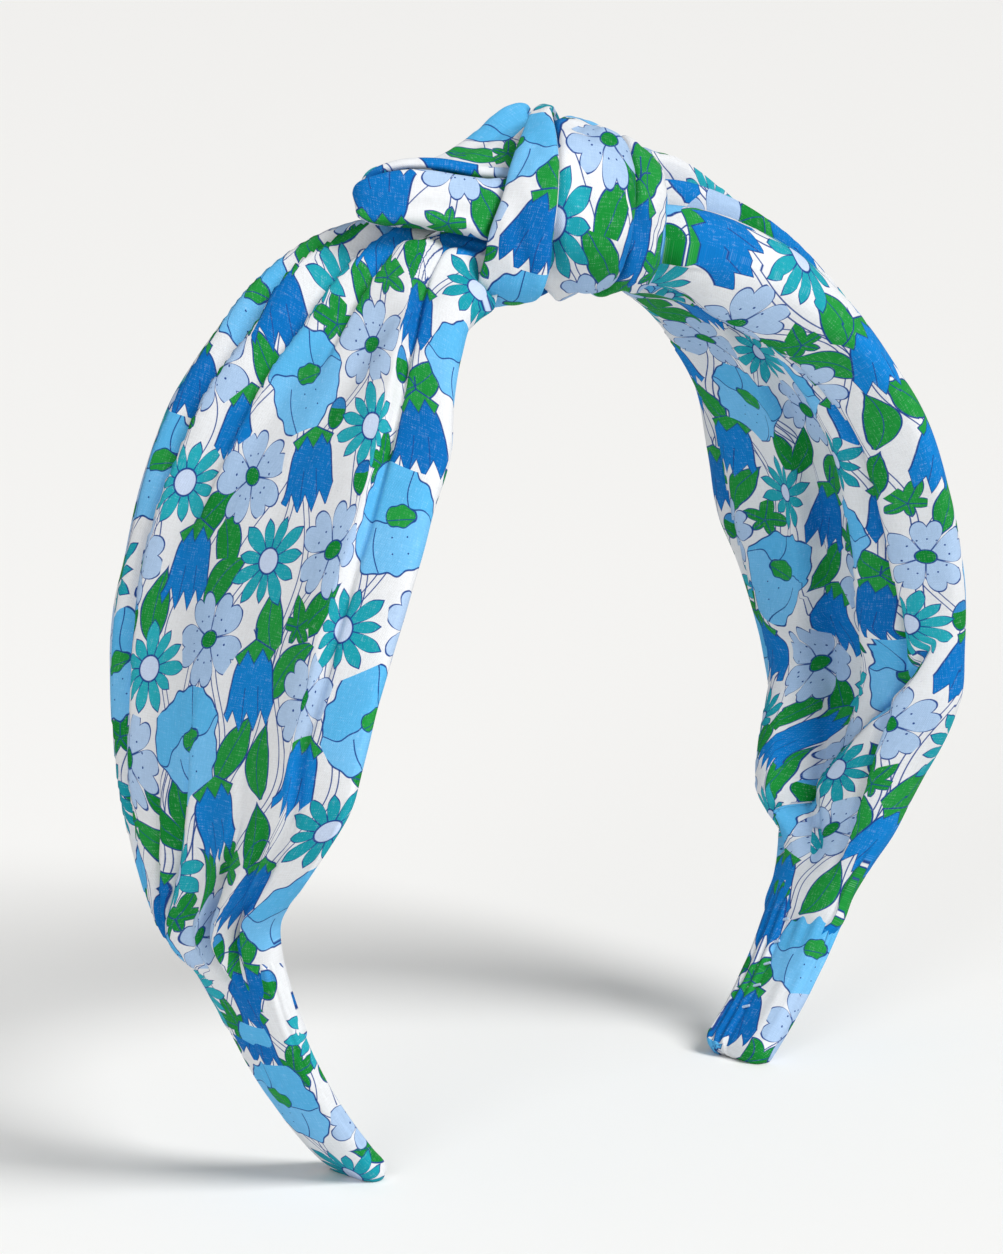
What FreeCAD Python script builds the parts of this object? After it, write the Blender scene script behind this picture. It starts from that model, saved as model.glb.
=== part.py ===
import FreeCAD, Part
import os
import math
from FreeCAD import Vector as V

os.makedirs("parts", exist_ok=True)

# ---------------------------------------------------------------------------
# Knotted headband: a springy plastic hoop inside a printed cotton sleeve, with
# a big soft knot on the crown. All lengths are in millimetres.
# Frame: X left to right across the head, Y front (-) to back (+), Z up.
# The origin is midway between the two tips, on the plane they stand on.
# ---------------------------------------------------------------------------

# hoop centreline: three arcs that run into each other, from the crown down to
# the tip (radius, angle turned to by its end, in degrees from the crown)
ARCS = [(66.0, 75.0), (88.0, 110.0), (85.0, 136.0)]
HOOP_T = 1.8            # thickness of the plastic
S_FLEX = 37.0           # where each arm starts to spring, from the crown
FLEX_GAP = 0.9          # gap at the inner side of each flex line
FIT = 0.15              # cloth stands off the plastic by this much
KNOT_GAP = 0.20         # clearance between neighbouring folds of the knot
HOOP_SHORT = 4.6        # the plastic stops this far before the end of the tip
SLEEVE_WALL = 0.9       # the pleated cloth, as one wall
STIFF_T = 0.8           # non-woven stiffener under the outer cloth
STIFF_IN = 9.0          # the stiffener stops this far inside the sleeve's edges
STIFF_UP = 0.85         # it bridges over the plastic, crowned across the arm

# (distance from the crown, hoop width)
HOOP_W = [(0, 14.0), (37, 15.0), (70, 18.0), (100, 16.0), (134, 10.0), (160, 8.4), (185, 8.0)]

# sleeves: distance from the crown, back edge, front edge, outer height, inner
# depth, droop of the two long edges
LEFT_SLEEVE = [(37.0, 27.0, -16.5, 4.2, 3.8, 1.2), (45, 29.5, -21.5, 4.4, 4.0, 1.8), (56, 29.5, -27.0, 4.6, 4.2, 2.6),
               (67, 28.5, -29.5, 4.8, 4.4, 3.0), (80, 27.0, -29.5, 4.8, 4.6, 3.0), (90, 26.0, -28.5, 4.8, 4.6, 3.0),
               (100, 24.5, -26.0, 4.7, 4.6, 2.8), (112, 21.5, -21.0, 4.6, 4.6, 2.2), (122, 17.0, -14.0, 4.4, 4.4, 1.4),
               (129, 11.5, -9.0, 4.0, 4.0, 0.8), (134, 8.3, -7.4, 3.6, 3.6, 0.4)]
RIGHT_SLEEVE = [(37.0, 21.5, -19.0, 5.6, 5.2, 0.8), (45, 23.0, -20.5, 5.4, 5.4, 1.4), (56, 24.0, -21.5, 5.2, 5.4, 2.2),
                (67, 25.0, -22.5, 5.0, 5.4, 2.8), (80, 26.0, -23.0, 5.0, 5.4, 3.0), (90, 26.0, -23.0, 5.0, 5.2, 3.0),
                (100, 25.5, -22.0, 4.9, 5.2, 2.8), (112, 23.5, -19.5, 4.8, 5.0, 2.4), (122, 19.5, -16.0, 4.6, 4.8, 1.6),
                (134, 13.0, -11.5, 4.2, 4.4, 1.0), (144, 8.5, -7.6, 3.7, 3.7, 0.4)]
# cloth bunched round the plastic inside the knot; negative is towards the left arm
CORE = [(-37.0, 27.0, -16.5, 4.2, 3.8, 1.2), (-22, 19.5, -10.0, 4.4, 4.0, 0.8), (-8, 12.0, -8.4, 4.6, 4.2, 0.6),
        (8, 11.5, -9.6, 4.8, 4.2, 0.6), (22, 16.0, -14.5, 5.2, 4.6, 0.8), (37.0, 21.5, -19.0, 5.6, 5.2, 0.8)]

# narrow covers over the two ends
TIP_W0, TIP_W1 = 13.6, 12.0     # width where it leaves the sleeve and at the end
TIP_T0, TIP_T1 = 5.6, 5.0       # thickness there
LEFT_GATHER, RIGHT_GATHER = 134.0, 144.0

S_TIP = 0.0
Z_CROWN = 0.0
_t = 0.0
for _r, _a in ARCS:
    S_TIP += _r * (math.radians(_a) - _t)
    Z_CROWN += _r * (math.cos(_t) - math.cos(math.radians(_a)))
    _t = math.radians(_a)
HOOP_END = S_TIP - HOOP_SHORT


def centre(s):
    """Point, tangent (towards the right tip) and outward normal, at distance s from the crown; s < 0 is the left arm."""
    k = -1.0 if s < 0 else 1.0
    left = abs(s)
    x, z, t = 0.0, Z_CROWN, 0.0
    for i, (r, deg) in enumerate(ARCS):
        end = math.radians(deg)
        turn = left / r
        if turn > end - t and i < len(ARCS) - 1:
            turn = end - t
        x += r * (math.sin(t + turn) - math.sin(t))
        z -= r * (math.cos(t) - math.cos(t + turn))
        t += turn
        left -= turn * r
        if left <= 1e-9:
            break
    return (V(k * x, 0, z), V(math.cos(t), 0, -k * math.sin(t)), V(k * math.sin(t), 0, math.cos(t)))


def table(rows, s, col=1):
    """Smooth value between the rows."""
    if s <= rows[0][0]:
        return rows[0][col]
    n = len(rows)
    for i in range(n - 1):
        p, q = rows[i], rows[i + 1]
        if s <= q[0]:
            h = q[0] - p[0]
            d0 = (q[col] - rows[i - 1][col]) / (q[0] - rows[i - 1][0]) if i > 0 else (q[col] - p[col]) / h
            d1 = (rows[i + 2][col] - p[col]) / (rows[i + 2][0] - p[0]) if i + 2 < n else (q[col] - p[col]) / h
            f = (s - p[0]) / h
            return ((2 * f ** 3 - 3 * f ** 2 + 1) * p[col] + (f ** 3 - 2 * f ** 2 + f) * h * d0
                    + (-2 * f ** 3 + 3 * f ** 2) * q[col] + (f ** 3 - f ** 2) * h * d1)
    return rows[-1][col]


def section(s, back, front, top, bottom, droop, side):
    """Closed wire across the band: crowned outer side, two short edges, crowned inner side."""
    c, d, n = centre(s)
    y = V(0, 1, 0)

    def at(u, w):
        return c + y * u + n * w

    h = side / 2
    mid = (back + front) / 2
    a, b, m1 = at(front, h - droop), at(back, h - droop), at(mid, top)
    e, f, m2 = at(back, -h - droop), at(front, -h - droop), at(mid, -bottom)
    return Part.Wire([
        Part.Arc(a, m1, b).toShape(),
        Part.LineSegment(b, e).toShape(),
        Part.Arc(e, m2, f).toShape(),
        Part.LineSegment(f, a).toShape(),
    ])


def hoop_section(s, grow=0.0):
    half = table(HOOP_W, abs(s)) / 2 + grow
    sag = half * half / 260.0
    t = HOOP_T / 2 + grow
    return section(s, half, -half, t, max(t - 0.5 * sag, 0.3), sag, 2 * t)


def stations(s0, s1, step):
    n = max(2, int(round(abs(s1 - s0) / step)) + 1)
    return [s0 + (s1 - s0) * i / (n - 1) for i in range(n)]


def loft(wires):
    return Part.makeLoft(wires, True, False)


def hoop_solid(s0, s1, grow=0.0, step=9.0):
    return loft([hoop_section(s, grow) for s in stations(s0, s1, step)])


# --- plastic hoop ------------------------------------------------------------
hoop_crown = hoop_solid(-S_FLEX, S_FLEX)


def prism(pts, y0=-60.0, y1=60.0):
    pts = [V(p.x, y0, p.z) for p in pts]
    return Part.Face(Part.makePolygon(pts + [pts[0]])).extrude(V(0, y1 - y0, 0))


def flex_cut(k):
    """Wedge that opens the flex line on its inner side, with its thin end at the hinge line."""
    c, d, n = centre(k * S_FLEX)
    d = d * k
    return prism([c + n * 20.0 - d * 0.5, c + n * 20.0 + d * 0.35, c + n * 6.0 + d * 0.35,
                  c - n * 14.0 + d * (FLEX_GAP + 0.8), c - n * 14.0 - d * 0.5])


def arm(k):
    body = hoop_solid(k * S_FLEX, k * HOOP_END)
    return body.cut(flex_cut(k))


hoop_left_arm = arm(-1)
hoop_right_arm = arm(1)


# --- sleeves -----------------------------------------------------------------
def row(rows, s):
    return [table(rows, s, c) for c in (1, 2, 3, 4, 5)]


def sleeve(rows, k, s0, s1):
    outer, cav = [], []
    for s in stations(s0, s1, 8.0):
        back, front, top, bottom, droop = row(rows, s)
        outer.append(section(k * s, back, front, top, bottom, droop, 3.0))
    for s in stations(s0 - 1.0, s1 + 1.0, 8.0):
        back, front, top, bottom, droop = row(rows, s)
        half = table(HOOP_W, s) / 2 + FIT
        cav.append(section(k * s, max(back - SLEEVE_WALL, half), min(front + SLEEVE_WALL, -half),
                           top - SLEEVE_WALL, bottom - SLEEVE_WALL, droop, 1.6 + 2 * FIT))
    return loft(outer).cut(loft(cav))


left_sleeve = sleeve(LEFT_SLEEVE, -1, S_FLEX, LEFT_GATHER).cut(flex_cut(-1))
right_sleeve = sleeve(RIGHT_SLEEVE, 1, S_FLEX, RIGHT_GATHER).cut(flex_cut(1))


# --- stiffeners inside the sleeves, on the outer side of the plastic ----------
def stiffener(rows, k, gather):
    wires = []
    s1 = gather - 20.0
    for s in stations(S_FLEX + 3.0, s1, 8.0):
        back, front, top, bottom, droop = row(rows, s)
        f = min(1.0, max(0.0, (s1 - s) / 30.0))
        b0 = max(back - STIFF_IN, 9.5)
        f0 = min(front + STIFF_IN, -9.5)
        sag = (top + droop - 1.5) * ((b0 - f0) / (back - front)) ** 2 * 0.9
        base = HOOP_T / 2 + STIFF_UP
        m = base + STIFF_T
        mid_h = STIFF_T / 2
        wires.append(section(k * s, b0, f0, m, -base, sag - base - mid_h, STIFF_T))
    return loft(wires)


left_stiffener = stiffener(LEFT_SLEEVE, -1, LEFT_GATHER)
right_stiffener = stiffener(RIGHT_SLEEVE, 1, RIGHT_GATHER)


# --- covers over the tips ----------------------------------------------------
def tip_cover(k, gather):
    wires = []
    for s in stations(gather + 0.1, S_TIP, 8.0):
        f = (s - gather) / (S_TIP - gather)
        w = TIP_W0 + (TIP_W1 - TIP_W0) * f
        t = TIP_T0 + (TIP_T1 - TIP_T0) * f
        wires.append(section(k * s, w / 2, -w / 2, t / 2, t / 2, 0.4, t - 1.6))
    body = loft(wires)
    # the two corners of the end are turned off
    c, d, n = centre(k * S_TIP)
    d = d * k
    w = TIP_W1 / 2
    for side in (-1, 1):
        y = V(0, side, 0)
        corner = c + y * w + n * 8.0
        pts = [corner + y * 3.0 + d * 1.0, corner + y * 3.0 - d * 4.0, corner + y * 0.05 - d * 4.0,
               corner - y * 0.7 - d * 2.0, corner - y * 2.0 - d * 0.75, corner - y * 4.0 - d * 0.05,
               corner - y * 4.0 + d * 1.0]
        body = body.cut(Part.Face(Part.makePolygon(pts + [pts[0]])).extrude(n * -16.0))
    body = body.cut(hoop_solid(k * (gather - 2.0), k * (HOOP_END + 0.3), FIT))
    # flat underside that the headband stands on
    return body.cut(Part.makeBox(400, 200, 40, V(-200, -100, -40)))


left_tip_cover = tip_cover(-1, LEFT_GATHER)
right_tip_cover = tip_cover(1, RIGHT_GATHER)


def biggest(shape):
    return max(shape.Solids, key=lambda q: q.Volume)


# --- adhesive that holds the cloth to the plastic at each gather -------------
def glue(k, gather):
    """A thin ring-shaped film round the plastic, in the space under the gathers."""
    s0, s1 = gather - 8.0, gather - 1.5
    outer = loft([hoop_section(k * s, 0.50) for s in stations(s0, s1, 3.0)])
    inner = loft([hoop_section(k * s, 0.10) for s in stations(s0 - 0.5, s1 + 0.5, 3.0)])
    return outer.cut(inner)


left_gather_glue = glue(-1, LEFT_GATHER)
right_gather_glue = glue(1, RIGHT_GATHER)


# --- slip stitches that close the turned edges on the inside of the tips ------
def tip_stitches(k, gather):
    out = []
    n_st = 6
    for i in range(n_st):
        s = gather + 7.0 + (S_TIP - gather - 15.0) * i / (n_st - 1)
        c, d, n = centre(k * s)
        f = (s - gather) / (S_TIP - gather)
        t = (TIP_T0 + (TIP_T1 - TIP_T0) * f) / 2
        p = c - n * (t + 0.02) + V(0, 2.6, 0)
        a, b = p - V(0, 1.0, 0) - d * 0.5, p + V(0, 1.0, 0) + d * 0.5
        out.append(Part.makeCylinder(0.22, (b - a).Length, a, b - a))
    return Part.makeCompound(out)


left_tip_stitches = tip_stitches(-1, LEFT_GATHER)
right_tip_stitches = tip_stitches(1, RIGHT_GATHER)
left_tip_cover = left_tip_cover.cut(left_tip_stitches)
right_tip_cover = right_tip_cover.cut(right_tip_stitches)


# --- the knot ----------------------------------------------------------------
def ring(c, ax, bx, a, b, n=14, power=2.4):
    """Smooth closed wire round c, a rounded oblong with half axes a along ax and b along bx."""
    pts = []
    for i in range(n):
        t = 2 * math.pi * i / n
        x, y = math.cos(t), math.sin(t)
        r = (abs(x) ** power + abs(y) ** power) ** (-1.0 / power)
        pts.append(c + ax * (a * r * x) + bx * (b * r * y))
    sp = Part.BSplineCurve()
    sp.interpolate(Points=pts, PeriodicFlag=True)
    return Part.Wire([sp.toShape()])


def unit(v):
    v = V(v)
    v.normalize()
    return v


def fold(rows, grow=0.0):
    """A rounded fold of cloth: rows of centre (x, y, height over the crown line), width direction, half width, half thickness."""
    pts = [V(r[0][0], r[0][1], Z_CROWN + r[0][2]) for r in rows]
    wires = []
    for i, r in enumerate(rows):
        d = unit(pts[min(i + 1, len(rows) - 1)] - pts[max(i - 1, 0)])
        ax = unit(V(*r[1]) - d * V(*r[1]).dot(d))
        c = pts[i]
        if grow and i == 0:
            c = c - d * grow
        if grow and i == len(rows) - 1:
            c = c + d * grow
        wires.append(ring(c, ax, d.cross(ax), r[2] + grow, r[3] + grow))
    return loft(wires)


def core(grow=0.0):
    wires = []
    for s in stations(-S_FLEX - grow, S_FLEX + grow, 7.4):
        back, front, top, bottom, droop = row(CORE, s)
        wires.append(section(s, back + grow, front - grow, top + grow, bottom + grow, droop, 3.0 + 2 * grow))
    return loft(wires)


knot_core = core().cut(hoop_solid(-S_FLEX - 1, S_FLEX + 1, FIT))
core_big = core(KNOT_GAP)

# the round body of the knot, and the strap that crosses it on the slant
BALL_C = V(-2.0, 1.0, Z_CROWN + 0.8)
BALL_X, BALL_R = 21.0, 16.2         # half length along the band, radius across it
STRAP_T = 3.0
STRAP_HALF = 5.6                    # half width of the strap
STRAP_AT = V(-3.0, 3.0, 0)          # the strap's middle line passes here
STRAP_DIR = unit(V(-0.763, -0.646, 0))
UNDER = 5.0                         # the knot reaches this far under the crown line


def ball(grow):
    e = Part.Ellipse(V(0, 0, 0), BALL_X + grow, BALL_R + grow)
    arc = Part.ArcOfEllipse(e, 0, math.pi).toShape()
    line = Part.LineSegment(V(-BALL_X - grow, 0, 0), V(BALL_X + grow, 0, 0)).toShape()
    sol = Part.Face(Part.Wire([arc, line])).revolve(V(0, 0, 0), V(1, 0, 0), 360)
    sol = Part.Solid(sol) if sol.ShapeType == "Shell" else sol
    sol.translate(BALL_C)
    return sol


def slab(q0, q1, low=-60.0):
    """Upright block that lies along the strap, from q0 to q1 across it."""
    m = V(-STRAP_DIR.y, STRAP_DIR.x, 0)
    p0, p1 = STRAP_AT + m * q0, STRAP_AT + m * q1
    pts = [p0 - STRAP_DIR * 80, p1 - STRAP_DIR * 80, p1 + STRAP_DIR * 80, p0 + STRAP_DIR * 80]
    pts = [V(p.x, p.y, Z_CROWN + low) for p in pts]
    return Part.Face(Part.makePolygon(pts + [pts[0]])).extrude(V(0, 0, 160))


floor_cut = Part.makeBox(200, 200, 60, V(-100, -100, Z_CROWN - UNDER - 60))
LOW_FOLD = [((-34.2, 12.6, 8.0), (0, 0.3, 1), 1.0, 1.0),
            ((-33.0, 12.0, 8.2), (0, 0.3, 1), 3.6, 4.0),
            ((-28.0, 9.4, 8.6), (0, 0.3, 1), 4.7, 5.4),
            ((-22.0, 5.2, 8.6), (0, 0.3, 1), 4.9, 5.8),
            ((-16.0, 0.6, 8.3), (0, 0.3, 1), 4.8, 5.6),
            ((-11.0, -3.0, 8.0), (0, 0.3, 1), 3.6, 3.6),
            ((-9.6, -4.0, 8.0), (0, 0.3, 1), 1.0, 1.0)]
UP_FOLD = [((-31.0, 14.4, 9.6), (0, 1, 0.3), 1.0, 0.9),
           ((-29.4, 13.6, 10.6), (0, 1, 0.3), 5.4, 2.4),
           ((-23.0, 11.6, 13.0), (0, 1, 0.3), 8.0, 3.0),
           ((-15.0, 8.8, 15.6), (0, 1, 0.3), 8.6, 3.4),
           ((-9.0, 6.0, 18.0), (0, 1, 0.3), 7.0, 3.0),
           ((-4.0, 3.4, 19.8), (0, 1, 0.3), 4.2, 2.2),
           ((-2.4, 3.0, 20.2), (0, 1, 0.3), 1.0, 0.9)]
NECK = [((10.0, 0.0, 8.6), (0, 1, 0), 11.0, 5.2),
        ((17.0, 0.0, 6.6), (0, 1, 0), 14.2, 6.0),
        ((24.0, 0.4, 3.4), (0, 1, 0), 15.6, 6.0),
        ((30.0, 0.8, 0.0), (0, 1, 0), 17.4, 5.6),
        ((38.0, 1.0, -5.6), (0, 1, 0), 19.0, 5.0)]

low = fold(LOW_FOLD)
low_big = fold(LOW_FOLD, KNOT_GAP)
up = fold(UP_FOLD)
neck = fold(NECK)


def keep_side(shape, k):
    """Cuts off what would reach past the flex line on side k."""
    c, d, n = centre(k * S_FLEX)
    d = d * k
    return shape.cut(prism([c - n * 60, c - n * 60 + d * 80, c + n * 60 + d * 80, c + n * 60]))


G = KNOT_GAP
strap_zone = ball(STRAP_T + G).common(slab(-STRAP_HALF - G, STRAP_HALF + G))
knot_centre_wrap = biggest(ball(STRAP_T).cut(ball(G)).common(slab(-STRAP_HALF, STRAP_HALF)).cut(core_big).cut(floor_cut))
knot_right_lobe = biggest(ball(0).common(slab(-2.0, 60.0)).cut(core_big).cut(floor_cut))
left_zone = slab(-60.0, -2.0 - G)
knot_left_lower_fold = biggest(low.cut(core_big).common(left_zone).cut(strap_zone))
knot_left_upper_fold = biggest(up.cut(core_big).common(left_zone).cut(strap_zone).cut(low_big))
knot_right_neck = biggest(keep_side(neck, 1).cut(core_big).cut(ball(G)).cut(strap_zone))

# three tacks through the underside that hold the knot to the band
tacks = []
for x in (-8.0, 0.0, 8.0):
    c, d, n = centre(x if x else 0.0001)
    p = c - n * 4.3
    tacks.append(Part.makeCylinder(0.3, 5.0, p - V(0, 2.5, 0), V(0, 1, 0)))
knot_tack_stitches = Part.makeCompound(tacks)
knot_core = knot_core.cut(knot_tack_stitches)
knot_right_lobe = knot_right_lobe.cut(knot_tack_stitches)

# --- write -------------------------------------------------------------------
NODES = {
    "hoop_crown": hoop_crown,
    "hoop_left_arm": hoop_left_arm,
    "hoop_right_arm": hoop_right_arm,
    "left_sleeve": left_sleeve,
    "right_sleeve": right_sleeve,
    "left_stiffener": left_stiffener,
    "right_stiffener": right_stiffener,
    "left_tip_cover": left_tip_cover,
    "right_tip_cover": right_tip_cover,
    "left_gather_glue": left_gather_glue,
    "right_gather_glue": right_gather_glue,
    "left_tip_stitches": left_tip_stitches,
    "right_tip_stitches": right_tip_stitches,
    "knot_core": knot_core,
    "knot_left_upper_fold": knot_left_upper_fold,
    "knot_left_lower_fold": knot_left_lower_fold,
    "knot_centre_wrap": knot_centre_wrap,
    "knot_right_lobe": knot_right_lobe,
    "knot_right_neck": knot_right_neck,
    "knot_tack_stitches": knot_tack_stitches,
}
for name, shape in NODES.items():
    solids = shape.Solids
    if name.endswith("stitches"):
        out = Part.makeCompound(solids)
    else:
        out = max(solids, key=lambda q: q.Volume)
    bb = out.BoundBox
    print("%-22s solids %d valid %s vol %9.2f  x %.1f..%.1f y %.1f..%.1f z %.1f..%.1f" % (
        name, len(solids), out.isValid(), out.Volume, bb.XMin, bb.XMax, bb.YMin, bb.YMax, bb.ZMin, bb.ZMax))
    out.exportStep("parts/%s.step" % name)
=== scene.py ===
import bpy, math
import numpy as np
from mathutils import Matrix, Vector


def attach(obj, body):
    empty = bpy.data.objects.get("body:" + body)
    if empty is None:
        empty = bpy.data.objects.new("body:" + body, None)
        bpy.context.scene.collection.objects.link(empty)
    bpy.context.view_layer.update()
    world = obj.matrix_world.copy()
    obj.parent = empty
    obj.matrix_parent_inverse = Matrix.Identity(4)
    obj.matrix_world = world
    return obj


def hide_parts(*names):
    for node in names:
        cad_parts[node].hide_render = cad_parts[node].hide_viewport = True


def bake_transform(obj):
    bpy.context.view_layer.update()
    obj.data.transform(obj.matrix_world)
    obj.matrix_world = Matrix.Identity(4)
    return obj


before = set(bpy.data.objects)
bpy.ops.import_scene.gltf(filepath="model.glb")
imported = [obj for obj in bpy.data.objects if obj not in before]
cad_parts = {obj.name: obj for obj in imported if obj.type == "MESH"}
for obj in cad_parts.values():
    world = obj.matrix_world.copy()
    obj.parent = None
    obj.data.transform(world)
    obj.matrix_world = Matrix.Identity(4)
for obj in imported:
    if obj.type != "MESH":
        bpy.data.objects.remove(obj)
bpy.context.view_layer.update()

rng = np.random.default_rng(7)
MM = 0.001

# =============================================================================
# the hoop's centre line, as in the CAD model (millimetres)
# =============================================================================
ARCS = [(66.0, 75.0), (88.0, 110.0), (85.0, 136.0)]
S_TIP, Z_CROWN, _t = 0.0, 0.0, 0.0
for _r, _a in ARCS:
    S_TIP += _r * (math.radians(_a) - _t)
    Z_CROWN += _r * (math.cos(_t) - math.cos(math.radians(_a)))
    _t = math.radians(_a)


def centre(s, k):
    """Points, tangents and outward normals of the arm on side k, at distances s from the crown (arrays)."""
    s = np.asarray(s, float)
    x, z, t = np.zeros_like(s), np.full_like(s, Z_CROWN), np.zeros_like(s)
    left = s.copy()
    for i, (r, deg) in enumerate(ARCS):
        end = math.radians(deg)
        start = math.radians(ARCS[i - 1][1]) if i else 0.0
        lim = (end - start) if i < len(ARCS) - 1 else 1e9
        turn = np.clip(left / r, -1e9 if i == 0 else 0.0, lim)
        x += r * (np.sin(t + turn) - np.sin(t))
        z -= r * (np.cos(t) - np.cos(t + turn))
        t = t + turn
        left = left - turn * r
    o = np.zeros_like(s)
    return (np.stack([k * x, o, z], -1), np.stack([k * np.cos(t), o, -np.sin(t)], -1),
            np.stack([k * np.sin(t), o, np.cos(t)], -1))


def spline(rows, s):
    """Monotone-ish smooth interpolation of a table: rows of (s, value, value...)."""
    rows = np.asarray(rows, float)
    X, Y = rows[:, 0], rows[:, 1:]
    s = np.clip(np.asarray(s, float), X[0], X[-1])
    h = np.diff(X)
    d = np.diff(Y, axis=0) / h[:, None]
    m = np.zeros_like(Y)
    m[0], m[-1] = d[0], d[-1]
    m[1:-1] = (d[:-1] * h[1:, None] + d[1:] * h[:-1, None]) / (h[1:] + h[:-1])[:, None]
    i = np.clip(np.searchsorted(X, s, side="right") - 1, 0, len(X) - 2)
    f = ((s - X[i]) / h[i])[..., None]
    H = h[i][..., None]
    return ((2 * f**3 - 3 * f**2 + 1) * Y[i] + (f**3 - 2 * f**2 + f) * H * m[i]
            + (-2 * f**3 + 3 * f**2) * Y[i + 1] + (f**3 - f**2) * H * m[i + 1])


def smooth(a, b, x):
    f = np.clip((x - a) / (b - a), 0, 1)
    return f * f * (3 - 2 * f)


class Noise:
    """Smooth 2-D noise on a grid of random values, about -1 to 1."""

    def __init__(self, seed, n=64):
        self.g = np.random.default_rng(seed).uniform(-1, 1, (n, n))
        self.n = n

    def __call__(self, x, y):
        n = self.n
        xi, yi = np.floor(x).astype(int), np.floor(y).astype(int)
        fx, fy = x - xi, y - yi
        fx, fy = fx**3 * (fx * (fx * 6 - 15) + 10), fy**3 * (fy * (fy * 6 - 15) + 10)
        g = self.g
        a, b = g[xi % n, yi % n], g[(xi + 1) % n, yi % n]
        c, d = g[xi % n, (yi + 1) % n], g[(xi + 1) % n, (yi + 1) % n]
        return (a * (1 - fx) + b * fx) * (1 - fy) + (c * (1 - fx) + d * fx) * fy


# =============================================================================
# node helpers
# =============================================================================
class NT:
    def __init__(self, tree):
        self.t = tree
        self.n = tree.nodes
        self.l = tree.links

    def put(self, node, i, v):
        if isinstance(v, bpy.types.NodeSocket):
            self.l.new(v, node.inputs[i])
        else:
            node.inputs[i].default_value = v

    def math(self, op, a, b=None, c=None, clamp=False):
        n = self.n.new("ShaderNodeMath")
        n.operation = op
        n.use_clamp = clamp
        for i, v in enumerate((a, b, c)):
            if v is not None:
                self.put(n, i, v)
        return n.outputs[0]

    def vec(self, op, a, b=None, c=None, scale=None):
        n = self.n.new("ShaderNodeVectorMath")
        n.operation = op
        self.put(n, 0, a)
        if b is not None:
            self.put(n, 1, b)
        if c is not None:
            self.put(n, 2, c)
        if scale is not None:
            self.put(n, 3, scale)
        return n.outputs["Value"] if op in ("LENGTH", "DOT_PRODUCT", "DISTANCE") else n.outputs["Vector"]

    def curve(self, x, pts):
        n = self.n.new("ShaderNodeFloatCurve")
        c = n.mapping.curves[0]
        while len(c.points) > 2:
            c.points.remove(c.points[1])
        c.points[0].location = pts[0]
        c.points[1].location = pts[-1]
        for p in pts[1:-1]:
            c.points.new(*p)
        for p in c.points:
            p.handle_type = "AUTO"
        n.mapping.update()
        self.put(n, "Value", x)
        n.inputs["Factor"].default_value = 1.0
        return n.outputs[0]

    def ramp(self, x, stops, mode="LINEAR"):
        n = self.n.new("ShaderNodeValToRGB")
        r = n.color_ramp
        r.interpolation = mode
        while len(r.elements) > 1:
            r.elements.remove(r.elements[-1])
        r.elements[0].position = stops[0][0]
        r.elements[0].color = stops[0][1]
        for p, c in stops[1:]:
            e = r.elements.new(p)
            e.color = c
        self.put(n, 0, x)
        return n.outputs[0], n.outputs[1]

    def mix(self, fac, a, b, mode="MIX"):
        n = self.n.new("ShaderNodeMix")
        n.data_type = "RGBA"
        n.blend_type = mode
        n.clamp_factor = True
        self.put(n, 0, fac)
        ia = [i for i, s in enumerate(n.inputs) if s.type == "RGBA"]
        self.put(n, ia[0], a)
        self.put(n, ia[1], b)
        return [o for o in n.outputs if o.type == "RGBA"][0]

    def sep(self, v):
        n = self.n.new("ShaderNodeSeparateXYZ")
        self.put(n, 0, v)
        return n.outputs


def srgb(h, a=1.0):
    c = [int(h[i:i + 2], 16) / 255 for i in (0, 2, 4)]
    return tuple((x / 12.92 if x <= 0.04045 else ((x + 0.055) / 1.055) ** 2.4) for x in c) + (a,)


INK = srgb("1d4287")
PERI = srgb("9fbbdc")
SKY = srgb("55addf")
SKY2 = srgb("6cb5e4")
TEAL = srgb("1192a2")
TEAL2 = srgb("28a6b4")
ROYAL = srgb("0064ae")
GREEN = srgb("0a7f2f")
GREEN2 = srgb("1f8f3c")
LAV = srgb("becde6")
GROUND = srgb("dcdee1")
PERI2 = srgb("aac3e1")
ROYAL2 = srgb("0a7cc8")

# the print: one repeat is 60 x 84 mm; places, sizes and turns of its motifs (mm, degrees)
TILE = (60.0, 84.0)
BIG = [('poppy', 15.78, 34.98, 6.58), ('poppy', 22.66, 8.86, 7.0), ('poppy', 50.45, 24.89, 7.11), ('poppy', 52.64, 57.64, 6.47), ('poppy', 17.71, 65.03, 6.61), ('peri', 13.51, 79.57, 5.66), ('peri', 11.12, 23.15, 4.94), ('peri', 30.46, 67.08, 4.99), ('peri', 38.12, 31.91, 5.68), ('peri', 54.32, 9.75, 5.4), ('peri', 6.04, 53.81, 5.19), ('peri', 34.68, 2.6, 5.31), ('peri', 52.88, 71.94, 5.44), ('daisy', 34.93, 19.79, 5.21), ('daisy', 25.61, 77.05, 5.09), ('daisy', 3.74, 66.27, 5.65), ('daisy', 52.58, 40.1, 5.55), ('daisy', 19.35, 49.1, 5.41), ('daisy', 7.86, 7.14, 5.67), ('daisy', 46.23, 83.45, 5.44), ('bell', 42.6, 67.37, 4.74), ('bell', 2.37, 16.86, 4.19), ('bell', 2.23, 34.27, 4.44), ('bell', 43.4, 48.71, 4.39), ('bell', 43.91, 12.56, 4.3), ('bell', 22.62, 21.5, 4.46), ('bell', 1.5, 81.03, 4.21), ('bell', 27.53, 38.83, 4.61), ('bell', 27.64, 56.79, 4.66)]
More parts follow.
